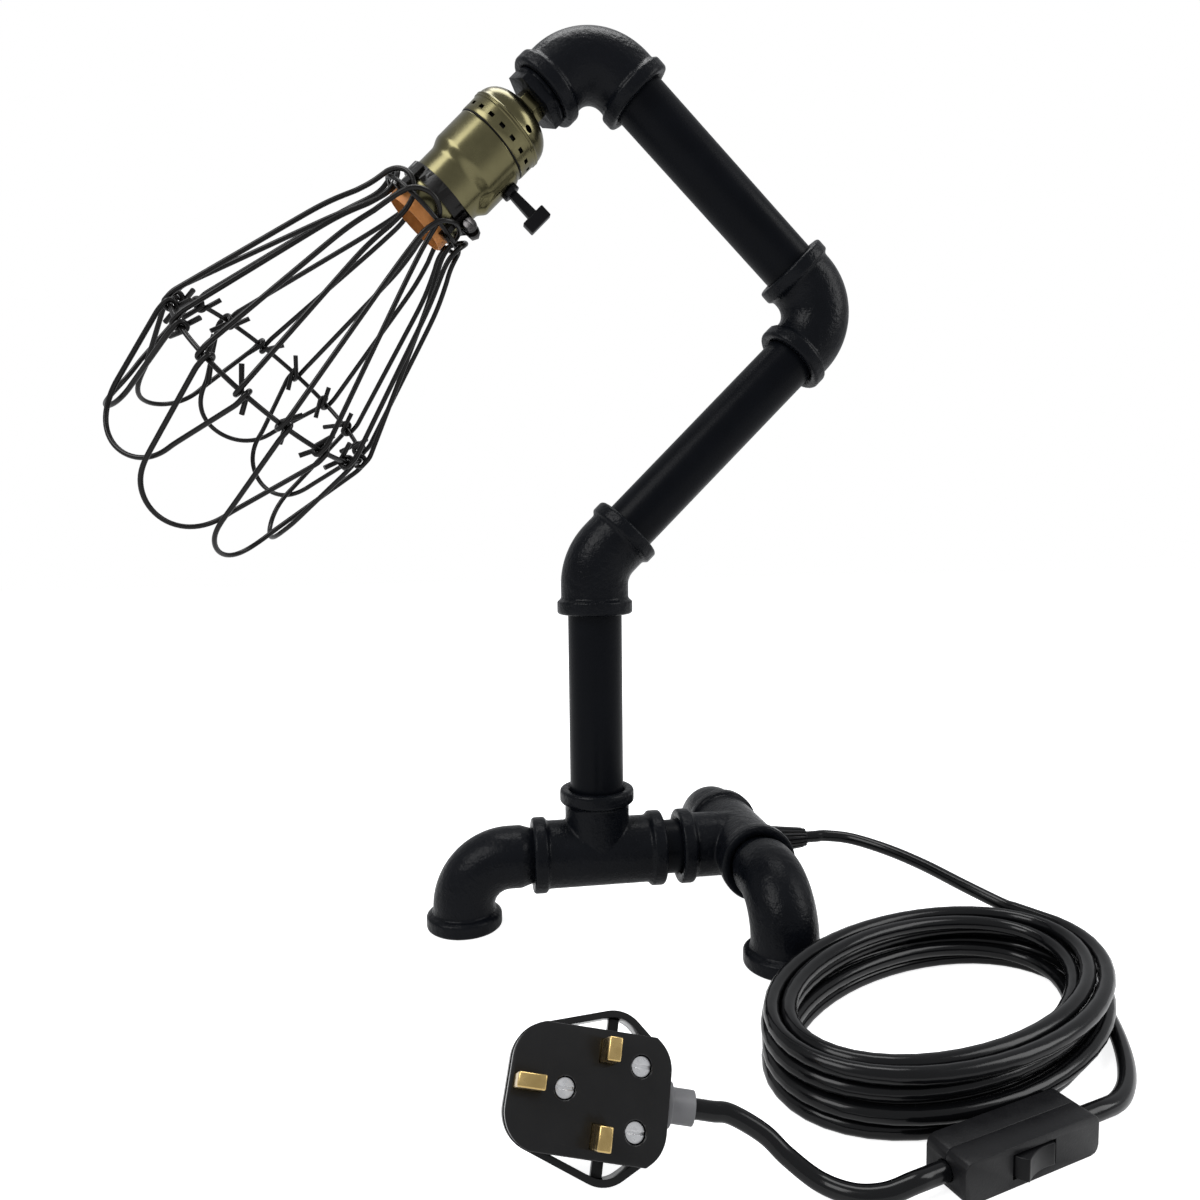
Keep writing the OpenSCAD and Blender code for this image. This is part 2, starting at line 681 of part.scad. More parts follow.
module cord_lead() color("#232427") lamp() tube(smooth(lead_path), cord_r, 8);
module cord_coil() color("#232427") lamp() tube(coil_path, cord_r, 6);
module cord_link() color("#232427") lamp() tube(smooth(link_path), cord_r, 8);
module cord_tail() color("#232427") lamp() tube(smooth(tail_path), cord_r, 8);

// ---------- switch ----------
// Along X, with its face towards -Y, lying on its long edge
module on_switch() lamp() translate([sw_at[0], sw_at[1], 0]) rotate([0, 0, sw_turn]) children();

module switch_half(from, to) {
  r = 3;
  translate([0, to, 0]) rotate([90, 0, 0]) linear_extrude(to - from) polygon(concat(
    [for (c = [[1, 1, 0], [-1, 1, 90], [-1, -1, 180], [1, -1, 270]], a = [0:30:90])
      [c[0] * (sw_len / 2 - r) + r * cos(c[2] + a),
       sw_h / 2 + c[1] * (sw_h / 2 - r) + r * sin(c[2] + a)]]));
}

module switch_back() {
  color("#26272a") on_switch() difference() {
    switch_half(0, sw_t / 2);
    translate([-sw_len / 2 + 3, -1, 3]) cube([sw_len - 6, sw_t / 2 - 1, sw_h - 6]);
    translate([0, 0, sw_h / 2]) rotate([0, 90, 0]) cylinder(r = cord_r + cord_fit, h = 2 * sw_len, center = true);
  }
}

module switch_front() {
  color("#26272a") on_switch() difference() {
    switch_half(-sw_t / 2, -0.01);
    translate([-sw_len / 2 + 3, -sw_t / 2 + 2.4, 3]) cube([sw_len - 6, sw_t, sw_h - 6]);
    translate([-rocker_l / 2 - 0.4, -sw_t, sw_h / 2 - rocker_h / 2 - 0.4])
      cube([rocker_l + 0.8, sw_t, rocker_h + 0.8]);
    translate([0, 0, sw_h / 2]) rotate([0, 90, 0]) cylinder(r = cord_r + cord_fit, h = 2 * sw_len, center = true);
  }
}
module switch_rocker() {
  color("#1d1d20") on_switch() translate([0, -sw_t / 2 + 3, sw_h / 2]) rotate([0, 0, rocker_tilt])
    difference() {
      union() {
        cylinder(r = rocker_l / 2, h = rocker_h, center = true);
      }
      translate([-20, 1.5, -20]) cube([40, 40, 40]);
      translate([0, -24.6, 0]) cylinder(r = 20.6, h = 20, center = true, $fn = 96);
    }
}

// ---------- plug ----------
module on_plug() lamp() translate([plug_at[0], plug_at[1], plug_lift])
  rotate([plug_tilt, 0, 0]) rotate([0, 0, plug_turn]) children();

module plug_side(shrink) {
  hull() for (side = [-1, 1]) {
    translate([-plug_l / 2 + 11, side * 6.5]) circle(r = 11 - shrink);
    translate([7, side * 12.5]) circle(r = 11.2 - shrink);
    translate([plug_l / 2 - 10.5, side * 8]) circle(r = 10.5 - shrink);
  }
}

// Finger openings beside the pin side, each crossed by a strut near the back
module finger_openings() {
  difference() {
    translate([0, 0, -1]) linear_extrude(plug_t) plug_side(plug_rim);
    translate([-plug_l, -plug_w / 2 - 0.4, -2]) cube([2 * plug_l, plug_w + 0.8, plug_t + 2]);
    translate([plug_rim + plug_strut, -plug_l, 0]) cube([plug_strut, 2 * plug_l, plug_strut]);
  }
}

module plug_cover() {
  color("#2a2a2c") on_plug() difference() {
    linear_extrude(plug_split) plug_side(0);
    finger_openings();
    translate([-18, -12, 3]) cube([34, 24, 20]);
    translate([0, 0, plug_cord_z]) rotate([0, 90, 0]) cylinder(r = 5.1, h = 40);
  }
}

module plug_base() {
  color("#2a2a2c") on_plug() difference() {
    translate([0, 0, plug_split + 0.02]) linear_extrude(plug_t - plug_split) intersection() {
      plug_side(0.4);
      square([60, plug_w], center = true);
    }
    translate([earth_x - 4, -2, 0]) cube([8, 4, 40]);
    for (side = [-1, 1]) translate([pin_x - 2, side * 11.1 - 3.2, 0]) cube([4, 6.4, 40]);
    for (p = screw_spots) translate([p[0], p[1], plug_t - 3]) cylinder(r = 3.2, h = 10);
    translate([0, 0, plug_cord_z]) rotate([0, 90, 0]) cylinder(r = 5.1, h = 40);
  }
}

module plug_pins() {
  color("#c9a45a") on_plug() {
    translate([earth_x - 3.95, -1.95, plug_split]) cube([7.9, 3.9, plug_t - plug_split + 22.7]);
    for (side = [-1, 1]) translate([pin_x - 1.95, side * 11.1 - 3.15, plug_split])
      cube([3.9, 6.3, plug_t - plug_split + 17.7]);
  }
}

module plug_screws() {
  color("#c9cacc") on_plug() for (p = screw_spots)
    translate([p[0], p[1], plug_t - 3]) difference() {
      cylinder(r = 2.9, h = 1.8);
      translate([-3, -0.4, 1]) cube([6, 0.8, 2]);
    }
}

module plug_fuse() {
  color("#cfd0c8") on_plug() translate([-2, -7, 6.4]) rotate([0, 90, 0])
    cylinder(r = 3.1, h = 25.4, center = true);
}

module plug_collar() {
  color("#5a5b5e") on_plug() translate([0, 0, plug_cord_z]) rotate([0, 90, 0]) difference() {
    union() {
      translate([0, 0, plug_l / 2 - 4]) cylinder(r = 5, h = plug_exit - plug_l / 2 + 4);
      translate([0, 0, plug_l / 2 + 0.1]) cylinder(r = 6.4, h = 2);
    }
    cylinder(r = cord_r + cord_fit, h = plug_exit - 2);
  }
}

foot_elbow_left();
foot_elbow_front();
foot_elbow_back();
post_tee();
foot_tee();
base_nipple();
post_pipe();
cord_grip();
lead_base();
elbow_45();
lower_arm_pipe();
lead_lower();
knee_elbow();
upper_arm_pipe();
lead_upper();
top_elbow();
hex_bushing();
neck_nipple();
socket_cap();
socket_insulator();
socket_shell();
turn_key();
screw_shell();
centre_contact();
fibre_sleeve();
lead_head();
clamp_band();
clamp_screw();
clamp_nut();
neck_ring();
guard_ring();
upper_loop(0);  // upper_loop_1
upper_loop(1);  // upper_loop_2
upper_loop(2);  // upper_loop_3
upper_loop(3);  // upper_loop_4
upper_loop(4);  // upper_loop_5
upper_loop(5);  // upper_loop_6
upper_loop(6);  // upper_loop_7
upper_loop(7);  // upper_loop_8
lower_loop(0);  // lower_loop_1
lower_loop(1);  // lower_loop_2
lower_loop(2);  // lower_loop_3
lower_loop(3);  // lower_loop_4
lower_loop(4);  // lower_loop_5
lower_loop(5);  // lower_loop_6
lower_loop(6);  // lower_loop_7
lower_loop(7);  // lower_loop_8
cord_lead();
cord_coil();
cord_link();
cord_tail();
switch_back();
switch_front();
switch_rocker();
plug_cover();
plug_base();
plug_pins();
plug_screws();
plug_fuse();
plug_collar();
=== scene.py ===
# %% [markdown]
# # A table lamp of iron pipe
# Threaded pipe and cast fittings make the stand, and a brass key socket with a wire guard hangs from it.
# A piece could be drawn where it is in the lamp. Here each new one is modelled in millimetres on its own
# middle line, then set into the lamp by one matrix, so that its numbers can be read off the real fitting.

# %% Load the lamp's frame
import bpy
from math import atan2, ceil, cos, floor, hypot, pi, radians, sin
from mathutils import Matrix, Vector


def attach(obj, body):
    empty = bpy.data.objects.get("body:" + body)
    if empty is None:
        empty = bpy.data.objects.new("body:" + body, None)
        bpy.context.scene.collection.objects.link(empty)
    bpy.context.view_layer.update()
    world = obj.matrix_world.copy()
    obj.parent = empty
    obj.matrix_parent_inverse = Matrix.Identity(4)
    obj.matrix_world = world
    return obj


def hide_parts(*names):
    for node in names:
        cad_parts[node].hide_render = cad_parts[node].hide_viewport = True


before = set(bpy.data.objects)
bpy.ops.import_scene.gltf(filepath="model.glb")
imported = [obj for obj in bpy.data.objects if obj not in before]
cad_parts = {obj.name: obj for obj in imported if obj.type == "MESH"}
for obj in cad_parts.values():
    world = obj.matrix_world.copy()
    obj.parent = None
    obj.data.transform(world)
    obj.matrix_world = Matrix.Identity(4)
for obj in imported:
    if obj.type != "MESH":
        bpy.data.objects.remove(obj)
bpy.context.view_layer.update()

# %% [markdown]
# ## The chain of places
# The pipe runs from the floor up the post, along the lower and the upper arm, and round the top elbow to the
# socket. A chain of matrices follows it, each built on the one before, so that one angle or length moves all
# that comes after it. +Z of the head's matrix runs down the socket towards the bulb, and the key points
# along its -X.

# %% Places along the lamp
MM = 0.001
POST_X = 50.5                     # the frame's origin to the middle of the post
FACE = 33.3                       # the middle of a tee or elbow to its face
ELBOW_Z = 180.1                   # the 45 degree elbow over the table
KNEE_AT, TOP_AT = 175.3, 174.1    # each arm, from elbow to elbow

def at(x, y, z):
    return Matrix.Translation((x, y, z))

def turned(axis, degrees):
    return Matrix.Rotation(radians(degrees), 4, axis)

in_place = Matrix.Identity(4)
on_floor = Matrix.Scale(MM, 4) @ at(POST_X, 0, 0)
on_lower_arm = on_floor @ at(0, 0, ELBOW_Z) @ turned("Y", 45)
on_upper_arm = on_lower_arm @ at(0, 0, KNEE_AT) @ turned("Y", -90)
on_top = on_upper_arm @ at(0, 0, TOP_AT) @ turned("Z", -2)
on_head = on_top @ turned("Y", -90)
print("top elbow at", [round(v, 4) for v in on_top.translation])

# %% [markdown]
# ## Camera
# The camera stands where the photographer stood: close to the lamp, a little above the middle of it and to its
# left, looking slightly down. It could be aimed by eye. It was fitted to the castings instead, whose sizes are
# standard, and so its place, its angles and its lens are plain numbers here.

# %% Camera
PHOTO_WIDTH, FOCAL, SENSOR = 1200, 907, 36      # pixels, pixels and millimetres
STAND = (-68.3, -446.6, 197.3)
azimuth, down, roll = radians(-9.03), radians(4.49), radians(-0.62)

camera_data = bpy.data.cameras.new("camera")
camera_data.sensor_width = SENSOR
camera_data.lens = SENSOR * FOCAL / PHOTO_WIDTH
camera = bpy.data.objects.new("camera", camera_data)
bpy.context.scene.collection.objects.link(camera)
bpy.context.scene.camera = camera
ahead = Vector((-sin(azimuth) * cos(down), cos(azimuth) * cos(down), -sin(down)))
level = Vector((cos(azimuth), sin(azimuth), 0))
over = level.cross(ahead)
right = cos(roll) * level + sin(roll) * over
up = cos(roll) * over - sin(roll) * level
stand = on_floor @ Vector(STAND)
camera.matrix_world = Matrix((
    (right.x, up.x, -ahead.x, stand.x), (right.y, up.y, -ahead.y, stand.y),
    (right.z, up.z, -ahead.z, stand.z), (0, 0, 0, 1)))
print("camera at", [round(v, 3) for v in camera.matrix_world.translation])

# %% [markdown]
# ## Helpers
# An operator acts on whatever is selected, so each helper begins by selecting one piece alone. `edit` runs one
# edit mode operator over a whole mesh, and `modify` adds a modifier and applies it. `settle` ends every piece:
# it carries the mesh into the lamp, hangs it on the body it rides on, and hides the CAD node it stands for.

# %% Selecting, editing, modifying and settling
def only(obj):
    bpy.ops.object.select_all(action="DESELECT")
    obj.select_set(True)
    bpy.context.view_layer.objects.active = obj

def edit(obj, operator, **settings):
    only(obj)
    bpy.ops.object.mode_set(mode="EDIT")
    bpy.ops.mesh.select_all(action="SELECT")
    operator(**settings)
    bpy.ops.object.mode_set(mode="OBJECT")

def modify(obj, kind, **settings):
    only(obj)
    modifier = obj.modifiers.new(kind.lower(), kind)
    for name, value in settings.items():
        setattr(modifier, name, value)
    bpy.ops.object.modifier_apply(modifier=modifier.name)

def bevel_edges(obj, width, segments, angle=30):
    modify(obj, "BEVEL", width=width, segments=segments, limit_method="ANGLE", angle_limit=radians(angle))

def settle(obj, name, matrix, body, material, node, angle=40):
    only(obj)
    obj.name = obj.data.name = name
    obj.matrix_world = matrix @ obj.matrix_world
    bpy.ops.object.transform_apply(location=True, rotation=True, scale=True)
    bpy.ops.object.shade_smooth_by_angle(angle=radians(angle))
    obj.data.materials.clear()
    obj.data.materials.append(material)
    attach(obj, body)
    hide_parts(node)
    print(name, len(obj.data.polygons), "faces")

# %% [markdown]
# ## Two effects that most finishes share
# *Mottle* varies a colour and the roughness slowly over the surface, as handling and uneven paint do. *Casting
# skin* is the pebbled height of sand-cast iron: a coarse grain, a fine one on it, and a slow unevenness under
# both. They could be built again in each material. As node groups with inputs of their own they are built
# once, and each finish sets its own scale.

# %% Node helpers
def new_group(name, inputs, outputs):
    group = bpy.data.node_groups.new(name, "ShaderNodeTree")
    for label, kind, default in inputs:
        group.interface.new_socket(name=label, in_out="INPUT", socket_type=kind).default_value = default
    for label, kind in outputs:
        group.interface.new_socket(name=label, in_out="OUTPUT", socket_type=kind)
    return group, group.nodes.new("NodeGroupInput"), group.nodes.new("NodeGroupOutput")

def feed(tree, value, socket):
    """Gives the socket a number, or links another socket to it."""
    if isinstance(value, (int, float)):
        socket.default_value = value
    else:
        tree.links.new(value, socket)

def math_node(tree, operation, a, b):
    node = tree.nodes.new("ShaderNodeMath")
    node.operation = operation
    feed(tree, a, node.inputs[0])
    feed(tree, b, node.inputs[1])
    return node.outputs[0]

def noise_node(tree, vector, scale, detail, roughness=0.5):
    node = tree.nodes.new("ShaderNodeTexNoise")
    for value, label in ((vector, "Vector"), (scale, "Scale"), (detail, "Detail"), (roughness, "Roughness")):
        feed(tree, value, node.inputs[label])
    return node.outputs["Fac"]

# %% Mottle
def enabled(sockets, name):
    return next(s for s in sockets if s.name == name and s.enabled)

mottle, source, result = new_group("Mottle", [
    ("Vector", "NodeSocketVector", (0, 0, 0)), ("Scale", "NodeSocketFloat", 60),
    ("Colour", "NodeSocketColor", (0.02, 0.02, 0.02, 1)), ("Lighter", "NodeSocketColor", (0.04, 0.04, 0.04, 1)),
    ("Rough from", "NodeSocketFloat", 0.35), ("Rough to", "NodeSocketFloat", 0.5)],
    [("Colour", "NodeSocketColor"), ("Roughness", "NodeSocketFloat")])
blotch = noise_node(mottle, source.outputs["Vector"], source.outputs["Scale"], 4, 0.6)
mix = mottle.nodes.new("ShaderNodeMix")
mix.data_type = "RGBA"
mottle.links.new(blotch, enabled(mix.inputs, "Factor"))
mottle.links.new(source.outputs["Colour"], enabled(mix.inputs, "A"))
mottle.links.new(source.outputs["Lighter"], enabled(mix.inputs, "B"))
mottle.links.new(enabled(mix.outputs, "Result"), result.inputs["Colour"])
span = mottle.nodes.new("ShaderNodeMapRange")
mottle.links.new(blotch, span.inputs["Value"])
span.inputs["From Min"].default_value, span.inputs["From Max"].default_value = 0.3, 0.7
mottle.links.new(source.outputs["Rough from"], span.inputs["To Min"])
mottle.links.new(source.outputs["Rough to"], span.inputs["To Max"])
mottle.links.new(span.outputs["Result"], result.inputs["Roughness"])
print("group:", mottle.name)

# %% Casting skin
FINE_SCALE, SLOW_SCALE = 3.1, 0.22       # against the coarse grain's scale
FINE_SHARE, SLOW_SHARE = 0.35, 1.2       # against the coarse grain's height

skin, source, result = new_group("Casting skin", [
    ("Vector", "NodeSocketVector", (0, 0, 0)), ("Scale", "NodeSocketFloat", 500)],
    [("Height", "NodeSocketFloat")])
vector, scale = source.outputs["Vector"], source.outputs["Scale"]
coarse = noise_node(skin, vector, scale, 3)
fine = noise_node(skin, vector, math_node(skin, "MULTIPLY", scale, FINE_SCALE), 2)
slow = noise_node(skin, vector, math_node(skin, "MULTIPLY", scale, SLOW_SCALE), 2)
grains = math_node(skin, "ADD", coarse, math_node(skin, "MULTIPLY", fine, FINE_SHARE))
skin.links.new(math_node(skin, "ADD", grains, math_node(skin, "MULTIPLY", slow, SLOW_SHARE)),
               result.inputs["Height"])
print("group:", skin.name)

# %% [markdown]
# ## Finishes
# The fittings are cast iron under thin black paint, the pipes smoother, the wires lacquered. The socket is
# brass, darkened by age, with a sleeve of vulcanised fibre, and the lead and its plug are moulded black. Each
# finish lies between a colour and a lighter one. Paint this black mirrors the pale room, so its specular level
# is low, or it would look grey.

# %% One finish from the two groups
def finish(name, colour, lighter, rough, mottle_scale, metallic=0.0, specular=0.5, bump=0.0, bump_scale=500,
           depth=0.0003):
    """A material with slow patches, and with a pebbled skin if it has a bump. The scales are per metre."""
    material = bpy.data.materials.new(name)
    material.use_nodes = True
    tree = material.node_tree
    shader = tree.nodes["Principled BSDF"]
    coordinates = tree.nodes.new("ShaderNodeTexCoord").outputs["Object"]
    patches = tree.nodes.new("ShaderNodeGroup")
    patches.node_tree = mottle
    tree.links.new(coordinates, patches.inputs["Vector"])
    patches.inputs["Scale"].default_value = mottle_scale
    patches.inputs["Colour"].default_value = (*colour, 1)
    patches.inputs["Lighter"].default_value = (*lighter, 1)
    patches.inputs["Rough from"].default_value, patches.inputs["Rough to"].default_value = rough
    tree.links.new(patches.outputs["Colour"], shader.inputs["Base Color"])
    tree.links.new(patches.outputs["Roughness"], shader.inputs["Roughness"])
    shader.inputs["Metallic"].default_value = metallic
    shader.inputs["Specular IOR Level"].default_value = specular
    if bump:
        pebbles = tree.nodes.new("ShaderNodeGroup")
        pebbles.node_tree = skin
        tree.links.new(coordinates, pebbles.inputs["Vector"])
        pebbles.inputs["Scale"].default_value = bump_scale
        relief = tree.nodes.new("ShaderNodeBump")
        relief.inputs["Strength"].default_value = bump
        relief.inputs["Distance"].default_value = depth
        tree.links.new(pebbles.outputs["Height"], relief.inputs["Height"])
        tree.links.new(relief.outputs["Normal"], shader.inputs["Normal"])
    return material

# %% Black finishes
cast_iron = finish("cast_iron", (0.0018, 0.0022, 0.0032), (0.005, 0.0058, 0.008), (0.22, 0.36), 45,
                   specular=0.09, bump=0.7, bump_scale=380, depth=0.0005)
black_pipe = finish("black_pipe", (0.0016, 0.002, 0.003), (0.0036, 0.0043, 0.0062), (0.26, 0.38), 40,
                    specular=0.055, bump=0.25, bump_scale=900, depth=0.0002)
black_wire = finish("black_wire", (0.002, 0.002, 0.0022), (0.007, 0.0058, 0.0052), (0.2, 0.3), 60,
                    specular=0.22)
black_resin = finish("black_resin", (0.002, 0.002, 0.0025), (0.0045, 0.0045, 0.0052), (0.26, 0.38), 120,
                     specular=0.13)
lead_skin = finish("lead_skin", (0.0022, 0.0023, 0.0027), (0.0048, 0.005, 0.0056), (0.13, 0.22), 70,
                   specular=0.22, bump=0.08, bump_scale=300, depth=0.0002)
moulded = finish("moulded", (0.005, 0.005, 0.0056), (0.009, 0.009, 0.01), (0.3, 0.42), 150,
                 specular=0.16, bump=0.4, bump_scale=1500, depth=0.0001)
plug_resin = finish("plug_resin", (0.006, 0.006, 0.0064), (0.011, 0.0108, 0.0108), (0.14, 0.26), 90,
                    specular=0.25)

# %% Metals, fibre and the rest
old_brass = finish("old_brass", (0.075, 0.067, 0.034), (0.17, 0.155, 0.082), (0.2, 0.3), 60, metallic=1.0,
                   bump=0.04, bump_scale=700, depth=0.0001)
bright_brass = finish("bright_brass", (0.4, 0.27, 0.1), (0.62, 0.46, 0.2), (0.2, 0.34), 200, metallic=1.0)
zinc = finish("zinc", (0.6, 0.6, 0.61), (0.86, 0.86, 0.87), (0.2, 0.36), 400, metallic=1.0)
dark_zinc = finish("dark_zinc", (0.04, 0.038, 0.038), (0.11, 0.105, 0.105), (0.22, 0.4), 300, metallic=1.0)
fibre = finish("fibre", (0.42, 0.135, 0.026), (0.74, 0.32, 0.1), (0.45, 0.6), 260, specular=0.3,
               bump=0.4, bump_scale=800, depth=0.0003)
grey_resin = finish("grey_resin", (0.13, 0.13, 0.135), (0.19, 0.19, 0.195), (0.35, 0.5), 150, specular=0.25)
china = finish("china", (0.6, 0.59, 0.55), (0.72, 0.71, 0.68), (0.25, 0.35), 150)
print(len(bpy.data.materials), "finishes")

# %% [markdown]
# ## The coil of the lead
# A round black lead, 6 mm thick, lies in an oval coil of eight turns. A simulation could drop it there, but
# would not give this coil. It is wound by rule instead: four layers of two turns, each turn a lead's width
# from the next. A layer winds inwards and the next one outwards, from the top down to the table.

# %% Where the lead lies in the coil
LEAD_R = 3.0
COIL_MID, COIL_TURN = (113, -133), radians(-62)
COIL_A, COIL_B = 51, 84                  # half the oval's width and length
COIL_START, COIL_TURNS, LAYERS = 94, 8 + 46 / 360, 4
TURN_POINTS = 48
PITCH, RISE, LOW = 6.6, 6.5, 3.1         # turn to turn, layer to layer, and the lowest layer's height
CLIMB = 0.25                             # turns on either side of a layer's end in which the height changes

def coil_place(t):
    """The place of the lead's middle after t turns."""
    lay = t * LAYERS / COIL_TURNS        # layers wound by then
    turns_in_layer = COIL_TURNS / LAYERS
    layer = floor(lay)
    part = lay - layer
    inward = PITCH * turns_in_layer * (part if layer % 2 == 0 else 1 - part)
    near = floor(lay + 0.5)              # the nearest change of layer, and the turns from it
    left = (lay - near) * turns_in_layer
    climbs = 1 <= near <= LAYERS - 1 and abs(left) < CLIMB
    step = near - 0.5 + left / (2 * CLIMB) if climbs else layer
    angle = radians(COIL_START - 360 * t)
    x, y = (COIL_A - inward) * cos(angle), (COIL_B - inward) * sin(angle)
    return Vector((COIL_MID[0] + x * cos(COIL_TURN) - y * sin(COIL_TURN),
                   COIL_MID[1] + x * sin(COIL_TURN) + y * cos(COIL_TURN),
                   LOW + RISE * (LAYERS - 1 - min(step, LAYERS - 1))))

coil_steps = round(COIL_TURNS * TURN_POINTS)
coil = [coil_place(i * COIL_TURNS / coil_steps) for i in range(coil_steps + 1)]
print("coil of", len(coil), "points")

# %% [markdown]
# ## The lead's two runs
# The lead leaves the grip at the tee, falls to the coil in one easy curve, comes out at the bottom of it, bends
# round into the in-line switch, and goes on to the plug. It starts straight at each fitting. Where the free
# stretches pass was read off the photograph, point by point, and a smooth curve goes through the points.

# %% Curves through points
STRAIGHT = 6                             # between the points of a straight stretch

def straight(start, way, steps):
    return [start + STRAIGHT * i * way for i in steps]

def level_way(a, b):
    way = (b - a) * Vector((1, 1, 0))
    return way.normalized()

def bend(a, b, c, d, steps=9):
    """A curve from a to d, drawn out towards b and c. It leaves out a itself."""
    return [(1 - t) ** 3 * a + 3 * t * (1 - t) ** 2 * b + 3 * t * t * (1 - t) * c + t ** 3 * d
            for t in (k / steps for k in range(1, steps + 1))]

def smooth(points, steps=8):
    """A curve through all the points, each taken at the slope between its two neighbours."""
    curve = []
    for i in range(len(points) - 1):
        a, b, c, d = points[max(i - 1, 0)], points[i], points[i + 1], points[min(i + 2, len(points) - 1)]
        for k in range(steps):
            t = k / steps
            curve.append(0.5 * (2 * b + (c - a) * t + (2 * a - 5 * b + 4 * c - d) * t * t
                                + (3 * b - a - 3 * c + d) * t ** 3))
    return curve + [points[-1]]

# %% Route of the lead
GRIP_END = 111.0                         # the grip's tip, from the post
FALL = ((135, -5, 32.6), (148, -19, 30.8), (158.5, -37, 28.6), (168, -58.5, 25.6))
COIL_PULL, SWITCH_PULL, SAG = 26, 20, Vector((0, 0, 1.9))
SWITCH_AT, SWITCH_TURN, SWITCH_LEN, SWITCH_H = (98, -203.5), radians(15), 56, 13
TAIL = ((50.5, -214.2, 4.6), (42, -211.5, 3.5), (34, -205.5, 4), (26.5, -199, 8), (20.5, -194.5, 13))
PLUG_AT, PLUG_TURN, PLUG_TILT = (-33, -177, 21), -13, 57
COLLAR_END = (33.5, 0, 10)               # in the plug's own frame

switch_dir = Vector((cos(SWITCH_TURN), sin(SWITCH_TURN), 0))
switch_mid = Vector((*SWITCH_AT, SWITCH_H / 2))
switch_in, switch_out = (switch_mid + side * SWITCH_LEN / 2 * switch_dir for side in (1, -1))
on_plug = at(*PLUG_AT) @ turned("X", PLUG_TILT) @ turned("Z", PLUG_TURN)
collar_end = on_plug @ Vector(COLLAR_END)
collar_dir = on_plug.to_3x3() @ Vector((1, 0, 0))

fall_route = straight(Vector((GRIP_END, 0, FACE)), Vector((1, 0, 0)), (0, 1, 2))
fall_route += [Vector(p) for p in FALL] + straight(coil[0], -level_way(coil[0], coil[1]), (3, 2, 1))
link_end = switch_in + 2 * STRAIGHT * switch_dir
link_route = bend(coil[-1], coil[-1] + COIL_PULL * level_way(coil[-2], coil[-1]),
                  link_end + SWITCH_PULL * switch_dir - SAG, link_end)
link_route += straight(switch_in, switch_dir, (1, 0))
tail_route = straight(switch_out, -switch_dir, (0, 1, 2)) + [Vector(p) for p in TAIL]
tail_route += straight(collar_end, collar_dir, (2, 1, 0))

# %% [markdown]
# The lead is a line with thickness, so it is a curve object with a round bevel. That keeps one smooth section
# from end to end, where a mesh that is extruded along the route would twist.

# %% Tubes along a route
def tube(name, points, radius, matrix):
    data = bpy.data.curves.new(name, "CURVE")
    data.dimensions = "3D"
    data.bevel_depth, data.bevel_resolution, data.use_fill_caps = radius * MM, 4, True
    spline = data.splines.new("POLY")
    spline.points.add(len(points) - 1)
    for point, place in zip(spline.points, points):
        point.co = (*(matrix @ place), 1)
    spline.use_smooth = True
    obj = bpy.data.objects.new(name, data)
    bpy.context.scene.collection.objects.link(obj)
    return obj

def run_length(points):
    return sum((b - a).length for a, b in zip(points, points[1:])) * MM

long_run = smooth(fall_route) + coil + smooth(link_route)
short_run = smooth(tail_route)
lead = tube("lead", long_run, LEAD_R, on_floor)
tail = tube("lead_to_plug", short_run, LEAD_R, on_floor)
for run, nodes in ((lead, ("cord_lead", "cord_coil", "cord_link")), (tail, ("cord_tail",))):
    run.data.materials.append(lead_skin)
    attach(run, "base")
    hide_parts(*nodes)
print("lead", round(run_length(long_run), 3), "m, to the plug", round(run_length(short_run), 3), "m")

# %% [markdown]
# ## Castings
# Malleable fittings have no sharp corner: the sand rounds every edge, and metal fills every inner corner. They
# could be built again from rings and bridges, but the CAD solids have the right sizes. So a copy of each is
# rebuilt by a voxel remesh, which closes it into one skin, and smoothed, which turns each corner into a
# small radius.

# %% Rounded castings
VOXEL, SMOOTHING_PASSES = 0.6, 5

def copy_of(node):
    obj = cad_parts[node].copy()
    obj.data = obj.data.copy()
    obj.parent = None
    for key in [k for k in obj.keys() if k.startswith("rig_")]:
        del obj[key]
    bpy.context.scene.collection.objects.link(obj)
    edit(obj, bpy.ops.mesh.remove_doubles, threshold=1e-6)
    return obj

def cast_copy(node, body):
    obj = copy_of(node)
    modify(obj, "REMESH", mode="VOXEL", voxel_size=VOXEL * MM, adaptivity=0)
    modify(obj, "SMOOTH", factor=0.6, iterations=SMOOTHING_PASSES)
    modify(obj, "DECIMATE", ratio=0.5)
    settle(obj, "cast_" + node, in_place, body, cast_iron, node, angle=180)

for node in ("foot_elbow_left", "foot_elbow_front", "foot_elbow_back", "post_tee", "foot_tee"):
    cast_copy(node, "base")
cast_copy("elbow_45", "lower_arm")
cast_copy("knee_elbow", "upper_arm")
cast_copy("top_elbow", "head")

# %% [markdown]
# ## Machined and moulded pieces
# The hexagons, the clamp, the switch and the plug have the right shape in CAD, with edges sharper than any real
# one. Modelling them again would add nothing, so a copy only has its edges broken: flat faces are merged, and a
# narrow bevel runs along every edge, which then catches a line of light.

# %% Pieces with broken edges
FLAT_ANGLE = radians(1)

